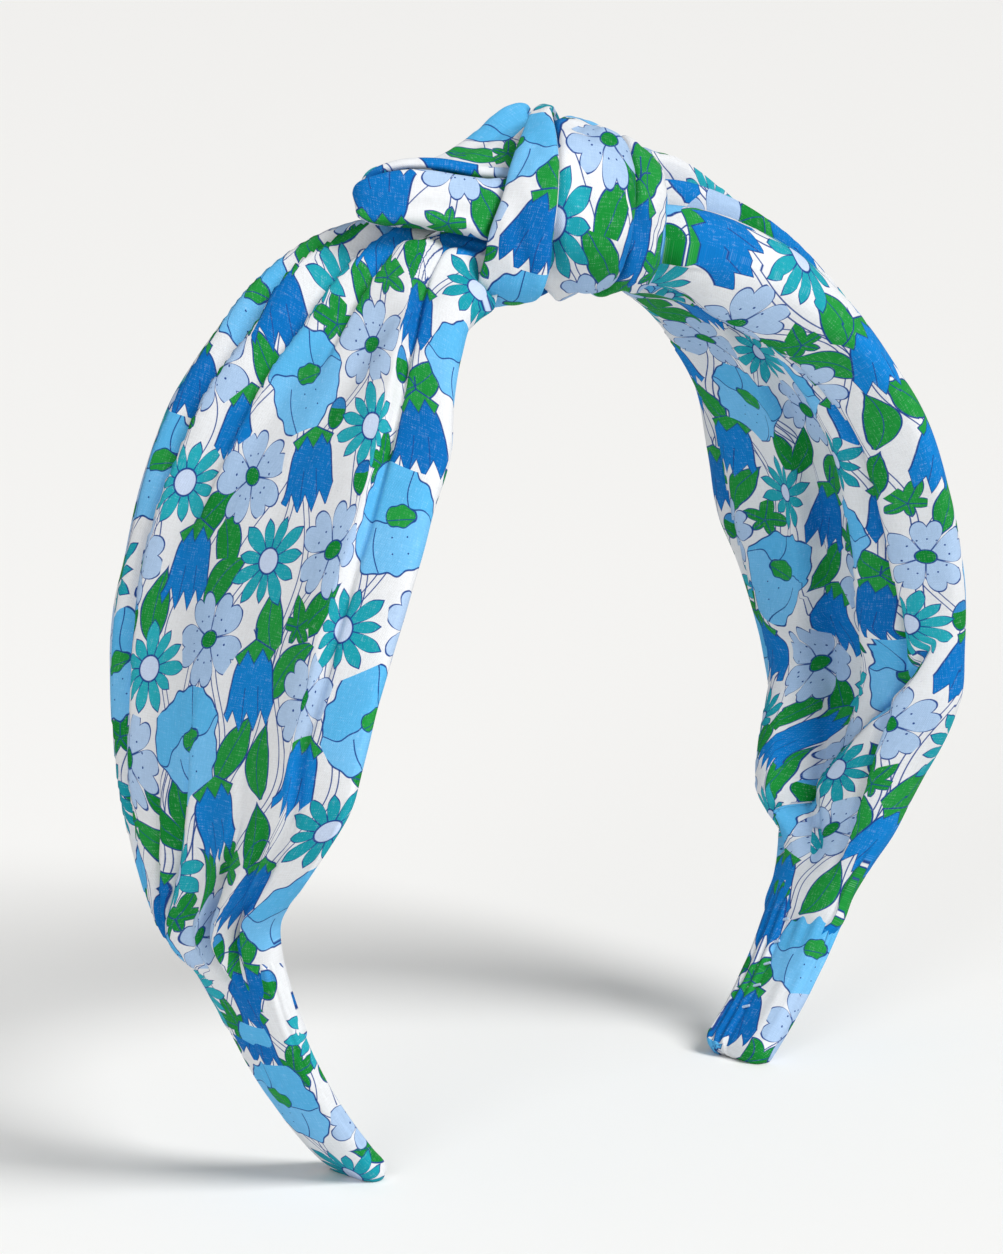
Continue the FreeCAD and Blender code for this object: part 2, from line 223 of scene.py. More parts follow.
LEAVES = [[38.0, 57.5, 2.6], [33.0, 47.5, 2.6], [37.0, 76.0, 2.6], [7.0, 43.0, 2.6], [28.0, 29.0, 2.6], [37.0, 42.0, 2.6], [2.0, 25.5, 2.6], [0.5, 46.0, 2.6], [43.0, 40.5, 2.6], [14.0, 15.0, 2.6], [55.0, 1.0, 2.6], [33.0, 11.5, 2.6], [11.0, 45.5, 2.6], [42.5, 75.5, 2.6], [6.0, 74.5, 2.6], [55.5, 48.5, 2.6], [14.0, 56.0, 2.6], [43.0, 58.5, 2.6], [10.5, 71.5, 2.4], [46.5, 34.0, 2.6], [54.0, 80.0, 2.6], [0.0, 4.0, 2.6], [23.0, 29.0, 2.6], [8.0, 30.0, 2.6], [33.0, 79.0, 2.48], [42.5, 19.5, 2.37], [28.0, 15.5, 2.32], [36.5, 71.0, 2.21]]


class Group:
    """A node group for one kind of motif: inputs and one colour out."""

    def __init__(self, name, inputs):
        self.tree = bpy.data.node_groups.new(name, "ShaderNodeTree")
        kinds = {"v": "NodeSocketVector", "f": "NodeSocketFloat", "c": "NodeSocketColor"}
        for n, k in inputs:
            self.tree.interface.new_socket(name=n, in_out="INPUT", socket_type=kinds[k])
        self.tree.interface.new_socket(name="Colour", in_out="OUTPUT", socket_type="NodeSocketColor")
        self.g = NT(self.tree)
        self.i = self.tree.nodes.new("NodeGroupInput").outputs
        self.names = [n for n, _ in inputs]

    def done(self, colour):
        o = self.tree.nodes.new("NodeGroupOutput")
        self.g.l.new(colour, o.inputs[0])
        return self

    def use(self, g, **values):
        n = g.n.new("ShaderNodeGroup")
        n.node_tree = self.tree
        for k, v in values.items():
            g.put(n, self.names.index(k), v)
        return n.outputs[0]


def clampf(g, v):
    n = g.n.new("ShaderNodeClamp")
    g.put(n, 0, v)
    n.inputs[1].default_value, n.inputs[2].default_value = 0.0, 1.0
    return n.outputs[0]


def xy(g, p):
    return g.vec("DOT_PRODUCT", p, (1.0, 0.0, 0.0)), g.vec("DOT_PRODUCT", p, (0.0, 1.0, 0.0))


HALF = (TILE[0] / 2, TILE[1] / 2, 1.0)
MINUS = (-TILE[0] / 2, -TILE[1] / 2, -1.0)


LINE, THIN, SOFT = 0.26, 0.20, 0.05


def cut(g, col, d, inv, fill):
    """Paints a shape over col where d < 0 (d in motif units; inv = 1 / size), with an ink line round it."""
    k = -1 / (2 * SOFT * inv)
    col = g.mix(g.math("MULTIPLY_ADD", d, k, 0.5 + LINE / (4 * SOFT)), col, INK)
    f = clampf(g, g.math("MULTIPLY_ADD", d, k, 0.5 - LINE / (4 * SOFT)))
    return g.mix(f, col, fill), f


def ink(g, col, dist, inv, fac, line=None):
    """Draws a fine line where dist (motif units) is near 0, only where fac is 1."""
    m = clampf(g, g.math("MULTIPLY_ADD", g.math("ABSOLUTE", dist), -1.0 / (2 * SOFT * inv), 0.5 + (line or THIN) / (4 * SOFT)))
    return g.mix(g.math("MULTIPLY", m, fac), col, INK)


def peri(g, col, p, inv, wob, tint):
    """Five heart-shaped petals round a green eye."""
    r = g.vec("LENGTH", p)
    x, y = xy(g, p)
    th = g.math("ARCTAN2", y, x)
    th = g.math("MULTIPLY_ADD", g.math("SINE", g.math("MULTIPLY_ADD", th, 2.0, wob)), 0.10, th)
    t = g.math("PINGPONG", g.math("MULTIPLY_ADD", th, 5 / (2 * math.pi), 5.0), 0.5)
    R = g.curve(g.math("MULTIPLY", t, 2.0), [(0, 0.34), (0.10, 0.66), (0.3, 0.86), (0.55, 0.965), (0.8, 0.95), (0.93, 0.87), (1, 0.80)])
    col, fm = cut(g, col, g.math("SUBTRACT", r, R), inv, tint)
    col = ink(g, col, g.math("MULTIPLY", t, r), inv, fm)
    q = g.math("PINGPONG", g.math("MULTIPLY_ADD", th, 12.5 / (2 * math.pi), 7.3), 0.5)
    dx = g.math("MULTIPLY", g.math("MULTIPLY", q, r), 0.5)
    dy = g.math("SUBTRACT", r, 0.47)
    dd = g.math("SQRT", g.math("MULTIPLY_ADD", dx, dx, g.math("MULTIPLY", dy, dy)))
    m = g.math("LESS_THAN", dd, 0.15 * inv)
    col = g.mix(m, col, INK)
    eye = g.math("SUBTRACT", g.vec("LENGTH", g.vec("MULTIPLY", p, (1.0, 1.25, 0))), 0.22)
    col, _ = cut(g, col, eye, inv, GREEN)
    return col


def daisy(g, col, p, inv, wob, tint):
    """Pointed turquoise petals round a pale centre."""
    p = g.vec("MULTIPLY", p, (1.0, 1.08, 0))
    r = g.vec("LENGTH", p)
    x, y = xy(g, p)
    f = g.math("MULTIPLY_ADD", g.math("ARCTAN2", y, x), 11 / (2 * math.pi), 20.0)
    t = g.math("PINGPONG", f, 0.5)
    jit = g.math("MULTIPLY_ADD", g.math("SINE", g.math("MULTIPLY_ADD", g.math("ROUND", f), 2.4, wob)), 0.11, 0.89)
    R = g.curve(g.math("MULTIPLY", t, 2.0), [(0, 1.0), (0.15, 0.95), (0.38, 0.88), (0.62, 0.79), (0.84, 0.64), (1, 0.46)])
    col, fm = cut(g, col, g.math("SUBTRACT", r, g.math("MULTIPLY", R, jit)), inv, tint)
    col = ink(g, col, g.math("MULTIPLY", g.math("SUBTRACT", 0.5, t), g.math("MULTIPLY", r, 0.57)), inv, fm)
    eye = g.math("SUBTRACT", g.vec("LENGTH", g.vec("MULTIPLY", p, (1.0, 0.85, 0))), 0.235)
    col, _ = cut(g, col, eye, inv, LAV)
    return col


def bell(g, col, p, inv, wob, tint):
    """A hanging bell flower: domed top, flared scalloped hem, green cap and a curved stalk."""
    x, y = xy(g, p)
    ax = g.math("ABSOLUTE", x)
    rr = g.math("SUBTRACT", g.vec("DISTANCE", p, (0.46, 0.92, 0)), 0.46)
    col = ink(g, col, rr, inv, g.math("GREATER_THAN", y, 0.92))
    h = clampf(g, g.math("MULTIPLY_ADD", y, 0.5, 0.5))
    w = g.curve(h, [(0, 0.98), (0.10, 0.92), (0.26, 0.72), (0.5, 0.62), (0.72, 0.52), (0.86, 0.3), (0.94, 0.0), (1, 0.0)])
    hem = g.math("PINGPONG", g.math("MULTIPLY_ADD", x, 2.4, 10.25), 0.5)
    low = g.math("MULTIPLY_ADD", hem, 0.85, -1.02)
    low = g.math("MULTIPLY_ADD", g.math("MULTIPLY", x, x), 0.30, low)
    d = g.math("MAXIMUM", g.math("SUBTRACT", ax, w), g.math("SUBTRACT", low, y))
    col, fm = cut(g, col, d, inv, tint)
    rib = g.math("SUBTRACT", ax, g.math("MULTIPLY_ADD", h, -0.16, 0.26))
    col = ink(g, col, rib, inv, g.math("MULTIPLY", fm, g.math("LESS_THAN", y, -0.05)), 0.14)
    c = g.math("PINGPONG", g.math("MULTIPLY_ADD", x, 2.3, 10.0), 0.5)
    lo = g.math("MULTIPLY_ADD", c, 0.62, 0.46)
    cap = g.math("MAXIMUM", g.math("SUBTRACT", ax, 0.58), g.math("MAXIMUM", g.math("SUBTRACT", lo, y), g.math("SUBTRACT", g.math("MULTIPLY_ADD", ax, 0.55, y), 1.0)))
    col, _ = cut(g, col, cap, inv, GREEN2)
    return col


def poppy(g, col, p, inv, wob, tint):
    """A large cupped flower seen from the side: ruffled edge, a folded nearer petal, a green seed head."""
    p = g.vec("MULTIPLY", p, (1.08, 0.92, 0))
    r = g.vec("LENGTH", p)
    x, y = xy(g, p)
    th = g.math("ARCTAN2", y, x)
    a = g.math("MULTIPLY_ADD", g.math("SINE", g.math("MULTIPLY_ADD", th, 9.0, wob)), 0.034, 0.90)
    a = g.math("MULTIPLY_ADD", g.math("SINE", g.math("MULTIPLY_ADD", th, 3.0, wob)), 0.085, a)
    a = g.math("MULTIPLY_ADD", g.math("SINE", g.math("MULTIPLY_ADD", th, 17.0, wob)), 0.016, a)
    col, fm = cut(g, col, g.math("SUBTRACT", r, a), inv, tint)
    edge = g.math("MULTIPLY_ADD", g.math("SINE", g.math("MULTIPLY_ADD", x, 5.2, wob)), 0.10, 0.06)
    edge = g.math("MULTIPLY_ADD", g.math("SINE", g.math("MULTIPLY_ADD", x, 13.0, wob)), 0.03, edge)
    lower = g.math("SUBTRACT", y, edge)
    inn = g.math("MULTIPLY", g.math("LESS_THAN", lower, 0.0), fm)
    col = g.mix(inn, col, SKY2)
    col = ink(g, col, lower, inv, fm)
    s1 = g.math("MULTIPLY_ADD", g.math("SINE", g.math("MULTIPLY", y, 4.0)), 0.10, g.math("SUBTRACT", x, 0.34))
    col = ink(g, col, s1, inv, g.math("MULTIPLY", inn, g.math("LESS_THAN", y, -0.10)))
    s2 = g.math("MULTIPLY_ADD", g.math("SINE", g.math("MULTIPLY", y, 5.0)), -0.08, g.math("ADD", x, 0.36))
    col = ink(g, col, s2, inv, g.math("MULTIPLY", fm, g.math("GREATER_THAN", lower, 0.0)))
    dots = g.vec("FRACTION", g.vec("MULTIPLY_ADD", p, (3.4, 4.0, 0), (9.3, 9.6, 0)))
    m = g.math("MULTIPLY", g.math("LESS_THAN", g.vec("DISTANCE", dots, (0.5, 0.5, 0.0)), 0.46 * inv), g.math("LESS_THAN", g.vec("DISTANCE", p, (-0.08, -0.36, 0)), 0.34))
    col = g.mix(g.math("MULTIPLY", m, fm), col, INK)
    q = g.vec("MULTIPLY", g.vec("SUBTRACT", p, (-0.12, 0.04, 0)), (1.0, 1.75, 0))
    sx, sy = xy(g, q)
    sd = g.math("SUBTRACT", g.vec("LENGTH", q), 0.30)
    sd = g.math("MULTIPLY_ADD", g.math("SINE", g.math("MULTIPLY", sx, 24.0)), 0.020, sd)
    col, sm = cut(g, col, sd, inv, GREEN2)
    return ink(g, col, g.math("ADD", sy, 0.10), inv, sm)


def leaf(g, col, p, inv, wob, tint):
    """One long bowed leaf with a rib."""
    x, y = xy(g, p)
    xb = g.math("MULTIPLY_ADD", g.math("MULTIPLY", y, y), g.math("MULTIPLY", g.math("SINE", wob), 0.3), x)
    h = clampf(g, g.math("MULTIPLY_ADD", y, 0.47, 0.5))
    w = g.curve(h, [(0, 0.0), (0.07, 0.10), (0.25, 0.40), (0.5, 0.50), (0.78, 0.26), (0.95, 0.03), (1, 0.0)])
    d = g.math("SUBTRACT", g.math("ABSOLUTE", xb), g.math("SUBTRACT", g.math("MULTIPLY", w, 0.92), 0.03))
    col, fm = cut(g, col, d, inv, tint)
    return ink(g, col, g.math("SUBTRACT", xb, 0.02), inv, fm, 0.13)


def sprig(g, col, p, inv, wob, tint):
    """A three- to five-lobed leaf."""
    r = g.vec("LENGTH", p)
    x, y = xy(g, p)
    th = g.math("ARCTAN2", y, x)
    t = g.math("PINGPONG", g.math("MULTIPLY_ADD", th, 5 / (2 * math.pi), 7.35), 0.5)
    w = g.curve(g.math("MULTIPLY", t, 2.0), [(0, 1.0), (0.2, 0.9), (0.45, 0.76), (0.7, 0.6), (1, 0.42)])
    sq = g.math("MULTIPLY_ADD", g.math("SINE", th), 0.34, 0.92)
    col, fm = cut(g, col, g.math("SUBTRACT", r, g.math("MULTIPLY", w, sq)), inv, tint)
    return ink(g, col, g.math("MULTIPLY", t, r), inv, fm, 0.13)


def bud(g, col, p, inv, wob, tint):
    """A bud on a stalk, blue at its tip."""
    x, y = xy(g, p)
    line = g.math("SUBTRACT", x, g.math("MULTIPLY", g.math("SINE", g.math("MULTIPLY", y, 1.6)), 0.12))
    col = ink(g, col, line, inv, g.math("LESS_THAN", g.math("ABSOLUTE", g.math("ADD", y, 0.6)), 0.7))
    q = g.vec("MULTIPLY", g.vec("SUBTRACT", p, (0.0, 0.32, 0)), (1.45, 1.0, 0))
    col, fm = cut(g, col, g.math("SUBTRACT", g.vec("LENGTH", q), 0.62), inv, GREEN)
    return g.mix(g.math("MULTIPLY", g.math("GREATER_THAN", y, 0.50), fm), col, tint)


def nearest_group():
    """Keeps the nearer of two motifs: its offset (with its number in z) and its distance over its size."""
    tree = bpy.data.node_groups.new("print_nearest", "ShaderNodeTree")
    for n, k in (("uv", "Vector"), ("at", "Vector"), ("inv", "Float"), ("best", "Vector"), ("dist", "Float")):
        tree.interface.new_socket(name=n, in_out="INPUT", socket_type="NodeSocket" + k)
    tree.interface.new_socket(name="best", in_out="OUTPUT", socket_type="NodeSocketVector")
    tree.interface.new_socket(name="dist", in_out="OUTPUT", socket_type="NodeSocketFloat")
    g = NT(tree)
    i = tree.nodes.new("NodeGroupInput").outputs
    d = g.vec("WRAP", g.vec("SUBTRACT", i[0], i[1]), HALF, MINUS)
    L = g.math("MULTIPLY", g.vec("LENGTH", d), i[2])
    lt = g.math("LESS_THAN", L, i[4])
    m = tree.nodes.new("ShaderNodeMix")
    m.data_type = "VECTOR"
    g.put(m, 0, lt)
    iv = [j for j, q in enumerate(m.inputs) if q.type == "VECTOR"]
    iv = [j for j in iv if m.inputs[j].name in ("A", "B")]
    g.put(m, iv[0], i[3])
    g.put(m, iv[1], d)
    vout = [q for q in m.outputs if q.type == "VECTOR"][0]
    lo = g.math("MINIMUM", L, i[4])
    o = tree.nodes.new("NodeGroupOutput")
    g.l.new(vout, o.inputs[0])
    g.l.new(lo, o.inputs[1])
    return tree


NEAREST = nearest_group()
FLOWERS = (("poppy", 8.2), ("peri", 6.7), ("daisy", 7.2), ("bell", 6.2))
GREENS = (("leaf", 5.6), ("sprig", 4.3), ("bud", 3.9))


def layer(g, uv, col, places, kinds, funcs, tints, spins):
    """places: kind -> list of (x, y). Finds the nearest motif at each point, then draws each kind once."""
    best, dist = None, None
    spans, idx = {}, 1
    for kind, size in kinds:
        first = idx
        for x, y in places[kind]:
            n = g.n.new("ShaderNodeGroup")
            n.node_tree = NEAREST
            g.put(n, 0, uv)
            n.inputs[1].default_value = (x, y, -idx / 1000.0)
            n.inputs[2].default_value = 1 / size
            if best is None:
                n.inputs[3].default_value = (0, 0, 0)
                n.inputs[4].default_value = 1000.0
            else:
                g.put(n, 3, best)
                g.put(n, 4, dist)
            best, dist = n.outputs[0], n.outputs[1]
            idx += 1
        spans[kind] = ((first + idx - 1) / 2, (idx - 1 - first) / 2 + 0.3)
    num = g.math("ROUND", g.vec("DOT_PRODUCT", best, (0.0, 0.0, 1000.0)))
    flat = g.vec("MULTIPLY", best, (1.0, 1.0, 0.0))
    spin = g.math("SINE", g.math("MULTIPLY", num, 12.9))
    wob = g.math("MULTIPLY", num, 1.7)
    alt = g.math("FRACT", g.math("MULTIPLY", num, 0.618))
    for kind, size in kinds:
        here = g.math("COMPARE", num, spans[kind][0], spans[kind][1])
        r = g.n.new("ShaderNodeVectorRotate")
        r.rotation_type = "Z_AXIS"
        g.put(r, "Vector", flat)
        g.put(r, "Angle", g.math("MULTIPLY", spin, spins[kind]))
        away = g.math("MULTIPLY_ADD", here, -90.0, 90.0)
        cx = g.n.new("ShaderNodeCombineXYZ")
        g.put(cx, 0, away)
        p = g.vec("ADD", g.vec("SCALE", r.outputs[0], scale=1 / size), cx.outputs[0])
        tint = g.mix(alt, tints[kind][0], tints[kind][1])
        col = funcs[kind](g, col, p, 1 / size, wob, tint)
    return col


def make_print():
    """The whole printed pattern; uv is the cloth's own flat coordinate in mm."""
    G = Group("printed_pattern", [("uv", "v"), ("ground", "c")])
    g = G.g
    uv, col = G.i[0], G.i[1]
    # long fine stalks, in pairs, wandering up and down the cloth between the flowers
    x, y = xy(g, uv)
    sway = g.math("SINE", g.math("MULTIPLY", y, 2 * math.pi / 42))
    sway2 = g.math("SINE", g.math("MULTIPLY_ADD", y, 2 * math.pi / 28, 1.0))
    for period, amp, amp2, gap, shift in ((12.0, 2.2, 1.4, 0.5, 0.0), (15.0, -2.6, 1.8, 0.5, 4.0), (20.0, 3.4, -1.5, 0.0, 9.0)):
        q = g.math("MULTIPLY_ADD", sway2, amp2, g.math("MULTIPLY_ADD", sway, amp, g.math("ADD", x, shift)))
        d = g.math("ABSOLUTE", g.math("SUBTRACT", g.math("PINGPONG", q, period / 2), gap))
        m = g.math("MULTIPLY_ADD", d, -1.0 / (2 * SOFT), 0.5 + 0.19 / (4 * SOFT))
        col = g.mix(m, col, INK)
    leaves = {"leaf": [], "sprig": [], "bud": []}
    for i, (a_, b_, _s) in enumerate(LEAVES):
        leaves[("leaf", "leaf", "sprig", "leaf", "bud", "sprig", "leaf")[i % 7]].append((a_, b_))
    flowers = {"poppy": [], "peri": [], "daisy": [], "bell": []}
    for k, a_, b_, _s in BIG:
        flowers[k].append((a_, b_))
    col = layer(g, uv, col, leaves, GREENS, {"leaf": leaf, "sprig": sprig, "bud": bud},
                {"leaf": (GREEN, GREEN2), "sprig": (GREEN2, GREEN), "bud": (ROYAL, SKY)}, {"leaf": 0.75, "sprig": 0.8, "bud": 0.35})
    col = layer(g, uv, col, flowers, FLOWERS, {"poppy": poppy, "peri": peri, "daisy": daisy, "bell": bell},
                {"poppy": (SKY, SKY), "peri": (PERI, PERI2), "daisy": (TEAL, TEAL2), "bell": (ROYAL, ROYAL2)},
                {"poppy": 0.55, "peri": 3.0, "daisy": 3.0, "bell": 0.38})
    return G.done(col)


PATTERN = make_print()


def print_material(name, shift=(0.0, 0.0), turn=0.0):
    mat = bpy.data.materials.new(name)
    mat.use_nodes = True
    t = mat.node_tree
    t.nodes.clear()
    g = NT(t)
    uvn = t.nodes.new("ShaderNodeUVMap")
    uvn.uv_map = "cloth"
    # UVs are in metres of cloth; the print works in mm
    uv = g.vec("MULTIPLY_ADD", uvn.outputs[0], (1000.0, 1000.0, 0.0), (500.0 + shift[0], 500.0 + shift[1], 0.0))
    puv = g.vec("SCALE", uv, scale=0.98)
    colour = PATTERN.use(g, uv=puv, ground=GROUND)
    x, y = xy(g, uv)
    # plain weave: 0.24 mm threads, warp and weft
    wu = g.math("SINE", g.math("MULTIPLY", x, 2 * math.pi / 0.30))
    wv = g.math("SINE", g.math("MULTIPLY", y, 2 * math.pi / 0.30))
    weave = g.math("MULTIPLY", wu, wv)
    slub = t.nodes.new("ShaderNodeTexNoise")
    g.put(slub, "Vector", g.vec("MULTIPLY", uv, (5.5, 0.6, 1.0)))
    slub.inputs["Scale"].default_value = 1.0
    slub.inputs["Detail"].default_value = 2.0
    slub2 = t.nodes.new("ShaderNodeTexNoise")
    g.put(slub2, "Vector", g.vec("MULTIPLY", uv, (0.6, 5.5, 1.0)))
    slub2.inputs["Scale"].default_value = 1.0
    slub2.inputs["Detail"].default_value = 2.0
    threads = g.math("ADD", slub.outputs[0], slub2.outputs[0])
    threads = g.math("MULTIPLY_ADD", weave, 0.10, threads)
    # threads that take the dye less leave fine pale flecks
    fleck = clampf(g, g.math("MULTIPLY_ADD", threads, 3.4, -3.75))
    colour = g.mix(g.math("MULTIPLY", fleck, 0.22), colour, srgb("c6d4e4"))
    tone = g.math("MULTIPLY_ADD", threads, 0.20, 0.80)
    soft = t.nodes.new("ShaderNodeTexNoise")
    g.put(soft, "Vector", uv)
    soft.inputs["Scale"].default_value = 0.09
    soft.inputs["Detail"].default_value = 2.0
    tone = g.math("MULTIPLY_ADD", soft.outputs[0], 0.10, g.math("SUBTRACT", tone, 0.05))
    hsv = t.nodes.new("ShaderNodeHueSaturation")
    g.put(hsv, "Value", tone)
    g.put(hsv, "Color", colour)
    colour = hsv.outputs[0]
    bsdf = t.nodes.new("ShaderNodeBsdfPrincipled")
    g.put(bsdf, "Base Color", colour)
    rough = g.math("MULTIPLY_ADD", threads, 0.10, 0.66)
    g.put(bsdf, "Roughness", rough)
    bsdf.inputs["Specular IOR Level"].default_value = 0.08
    bump = t.nodes.new("ShaderNodeBump")
    bump.inputs["Strength"].default_value = 0.55
    bump.inputs["Distance"].default_value = 0.00006
    g.put(bump, "Height", g.math("MULTIPLY_ADD", weave, 0.5, slub.outputs[0]))
    g.l.new(bump.outputs[0], bsdf.inputs["Normal"])
    out = t.nodes.new("ShaderNodeOutputMaterial")
    g.l.new(bsdf.outputs[0], out.inputs["Surface"])
    return mat


def plain_material(name, colour, rough, kind):
    mat = bpy.data.materials.new(name)
    mat.use_nodes = True
    t = mat.node_tree
    g = NT(t)
    bsdf = next(n for n in t.nodes if n.type == "BSDF_PRINCIPLED")
    co = t.nodes.new("ShaderNodeTexCoord")
    nz = t.nodes.new("ShaderNodeTexNoise")
    nz.inputs["Scale"].default_value = {"plastic": 900.0, "felt": 2600.0, "thread": 5200.0, "glue": 400.0}[kind]
    nz.inputs["Detail"].default_value = 4.0
    g.put(nz, "Vector", co.outputs["Object"])
    c2 = tuple(min(1.0, v * 1.12) for v in colour[:3]) + (1,)
    c1 = tuple(v * 0.86 for v in colour[:3]) + (1,)
    c, _ = g.ramp(nz.outputs[0], [(0.3, c1), (0.7, c2)])
    g.put(bsdf, "Base Color", c)
    g.put(bsdf, "Roughness", g.math("MULTIPLY_ADD", nz.outputs[0], 0.2, rough - 0.1))
    bump = t.nodes.new("ShaderNodeBump")
    bump.inputs["Strength"].default_value = 0.3
    bump.inputs["Distance"].default_value = 0.00008
    g.put(bump, "Height", nz.outputs[0])
    g.l.new(bump.outputs[0], bsdf.inputs["Normal"])
    return mat


PRINT = print_material("printed_cotton_lawn")

# =============================================================================
# meshes
# =============================================================================
COLL = bpy.context.scene.collection


def grid_object(name, P, UV, closed=True, caps=(True, True), mat=PRINT):
    """P: rings x points x 3 in mm; UV: rings x (points + 1) x 2 in mm if closed. Makes a smooth quad mesh."""
    n, m = P.shape[:2]
    verts = [tuple(v) for v in (P.reshape(-1, 3) * MM)]
    faces, uvs = [], []
    cols = m if closed else m - 1
    for i in range(n - 1):
        for j in range(cols):
            k = (j + 1) % m
            faces.append((i * m + j, i * m + k, (i + 1) * m + k, (i + 1) * m + j))
            uvs += [UV[i, j], UV[i, j + 1], UV[i + 1, j + 1], UV[i + 1, j]]
    for which, ring in ((0, 0), (1, n - 1)):
        if closed and caps[which]:
            c = P[ring].mean(0)
            ci = len(verts)
            verts.append(tuple(c * MM))
            uc = UV[ring].mean(0)
            for j in range(m):
                k = (j + 1) % m
                a, b = ring * m + j, ring * m + k
                if which:
                    faces.append((a, b, ci))
                    uvs += [UV[ring, j], UV[ring, j + 1], uc]
                else:
                    faces.append((b, a, ci))
                    uvs += [UV[ring, j + 1], UV[ring, j], uc]
    me = bpy.data.meshes.new(name)
    me.from_pydata(verts, [], faces)
    lay = me.uv_layers.new(name="cloth")
    flat = (np.array(uvs) * MM).astype(np.float32).ravel()
    lay.data.foreach_set("uv", flat)
    me.polygons.foreach_set("use_smooth", [True] * len(me.polygons))
    me.update()
    ob = bpy.data.objects.new(name, me)
    COLL.objects.link(ob)
    me.materials.append(mat)
    return ob


# --- sleeves -----------------------------------------------------------------
# distance from the crown, back edge, front edge, outer height, inner depth, droop of the edges
LEFT = [(2, 8.5, -8.0, 3.4, 3.4, 0.1), (12, 13.5, -8.5, 4.2, 3.4, 0.1), (22, 22.0, -9.5, 6.2, 3.6, 0.1), (31, 27.4, -13.0, 6.4, 3.7, 0.1), (38, 29.8, -17.5, 6.0, 3.8, 0.1),
        (45, 30.5, -22.0, 5.4, 4.0, 0.1), (56, 30.5, -28.0, 5.4, 4.2, 0.2), (67, 29.2, -31.0, 5.4, 4.4, 0.7),
        (80, 27.8, -31.2, 5.4, 4.7, 1.5), (90, 27.0, -29.8, 5.4, 4.8, 1.7), (100, 25.6, -27.2, 5.3, 4.8, 1.3),
        (112, 22.6, -22.6, 5.1, 4.8, 0.6), (122, 18.6, -14.2, 4.7, 4.6, 0.3), (128, 16.0, -8.4, 4.3, 4.2, 0.1),
        (134, 13.2, -6.9, 3.8, 3.7, 0.1), (139, 11.0, -6.7, 3.3, 3.2, 0.1), (144, 9.3, -6.7, 3.0, 2.9, 0.1), (148, 8.2, -6.5, 2.8, 2.7, 0.1), (150, 6.4, -5.0, 2.0, 2.0, 0.1)]
RIGHT = [(2, 8.5, -6.0, 4.4, 3.4, 0.0), (14, 12.6, -8.6, 5.5, 3.6, 0.0), (22, 15.4, -12.0, 5.9, 3.6, 0.0), (30, 18.0, -14.8, 6.3, 3.6, 0.0), (38, 20.6, -17.2, 6.6, 3.7, 0.1),
         (46, 22.4, -19.2, 6.2, 4.0, 0.2), (56, 23.6, -21.2, 5.9, 4.4, 0.7), (67, 24.6, -23.4, 5.8, 4.8, 1.4),
         (80, 25.8, -23.8, 5.6, 5.2, 2.3), (90, 26.2, -23.8, 5.6, 5.2, 2.1), (100, 24.4, -23.0, 5.6, 5.0, 1.0),
         (112, 19.8, -21.0, 5.6, 4.8, 0.0), (122, 17.2, -17.6, 5.4, 4.8, -0.3), (134, 13.4, -12.8, 4.8, 4.4, 0.0),
         (142, 9.6, -9.0, 3.9, 3.6, 0.1), (148, 8.3, -7.0, 3.2, 3.2, 0.1), (153, 8.1, -6.6, 2.9, 2.9, 0.1), (156, 6.4, -5.2, 2.0, 2.0, 0.1)]

# folds: side (1 outer, -1 inner), which way the raised side looks (1: towards the back), height rows
# (s, place across 0 front .. 1 back, height mm), soft width mm, drop width mm, extra cloth in the fold mm
LEFT_FOLDS = [
    (1, 1, [(16, .34, .5), (40, .17, .7), (56, .150, .7), (80, .145, .65), (100, .15, .6), (118, .17, .5), (136, .3, .3)], 5.0, 0.9, 6.0),
    (1, -1, [(8, .50, .9), (24, .60, 1.5), (45, .71, 1.4), (70, .79, 1.0), (96, .80, .6), (120, .76, .7), (138, .66, .8)], 4.0, 1.2, 7.0),
    (1, -1, [(8, .66, .9), (24, .74, 1.5), (45, .83, 1.5), (70, .89, 1.1), (96, .90, .7), (120, .86, .8), (138, .80, .8)], 3.0, 1.1, 6.0),
    (1, -1, [(8, .38, .9), (22, .45, 1.1), (38, .52, .9), (56, .60, .5), (78, .66, 0)], 3.4, 1.2, 5.0),
    (1, -1, [(8, .24, .8), (20, .30, .8), (34, .36, .45), (50, .42, 0)], 3.4, 1.2, 4.0),
    (1, 1, [(8, .84, .7), (24, .88, .7), (40, .93, .4), (52, .95, 0)], 2.6, 1.0, 3.0),
    (1, 1, [(98, .34, 0), (112, .34, .35), (124, .36, .9), (138, .40, 1.1)], 2.6, 0.9, 7.0),
    (1, -1, [(92, .52, 0), (108, .52, .4), (124, .52, 1.0), (138, .52, 1.2)], 2.4, 0.9, 8.0),
    (1, -1, [(106, .66, 0), (118, .65, .6), (128, .62, .9), (138, .60, 1.0)], 2.0, 0.8, 5.0),
    (1, 1, [(108, .22, 0), (120, .22, .6), (130, .24, .9), (138, .26, 1.0)], 2.0, 0.8, 5.0),
    (-1, 1, [(10, .40, .8), (30, .36, .9), (60, .32, .9), (90, .33, .9), (120, .38, 1.2), (138, .42, 1.2)], 6.0, 1.6, 7.0),
    (-1, -1, [(10, .62, .7), (30, .66, 1.0), (60, .70, 1.1), (90, .70, 1.1), (120, .64, 1.3), (138, .60, 1.2)], 6.0, 1.6, 7.0),
    (-1, 1, [(84, .5, 0), (104, .5, .8), (124, .5, 1.2), (138, .5, 1.2)], 3.2, 1.2, 6.0),
]
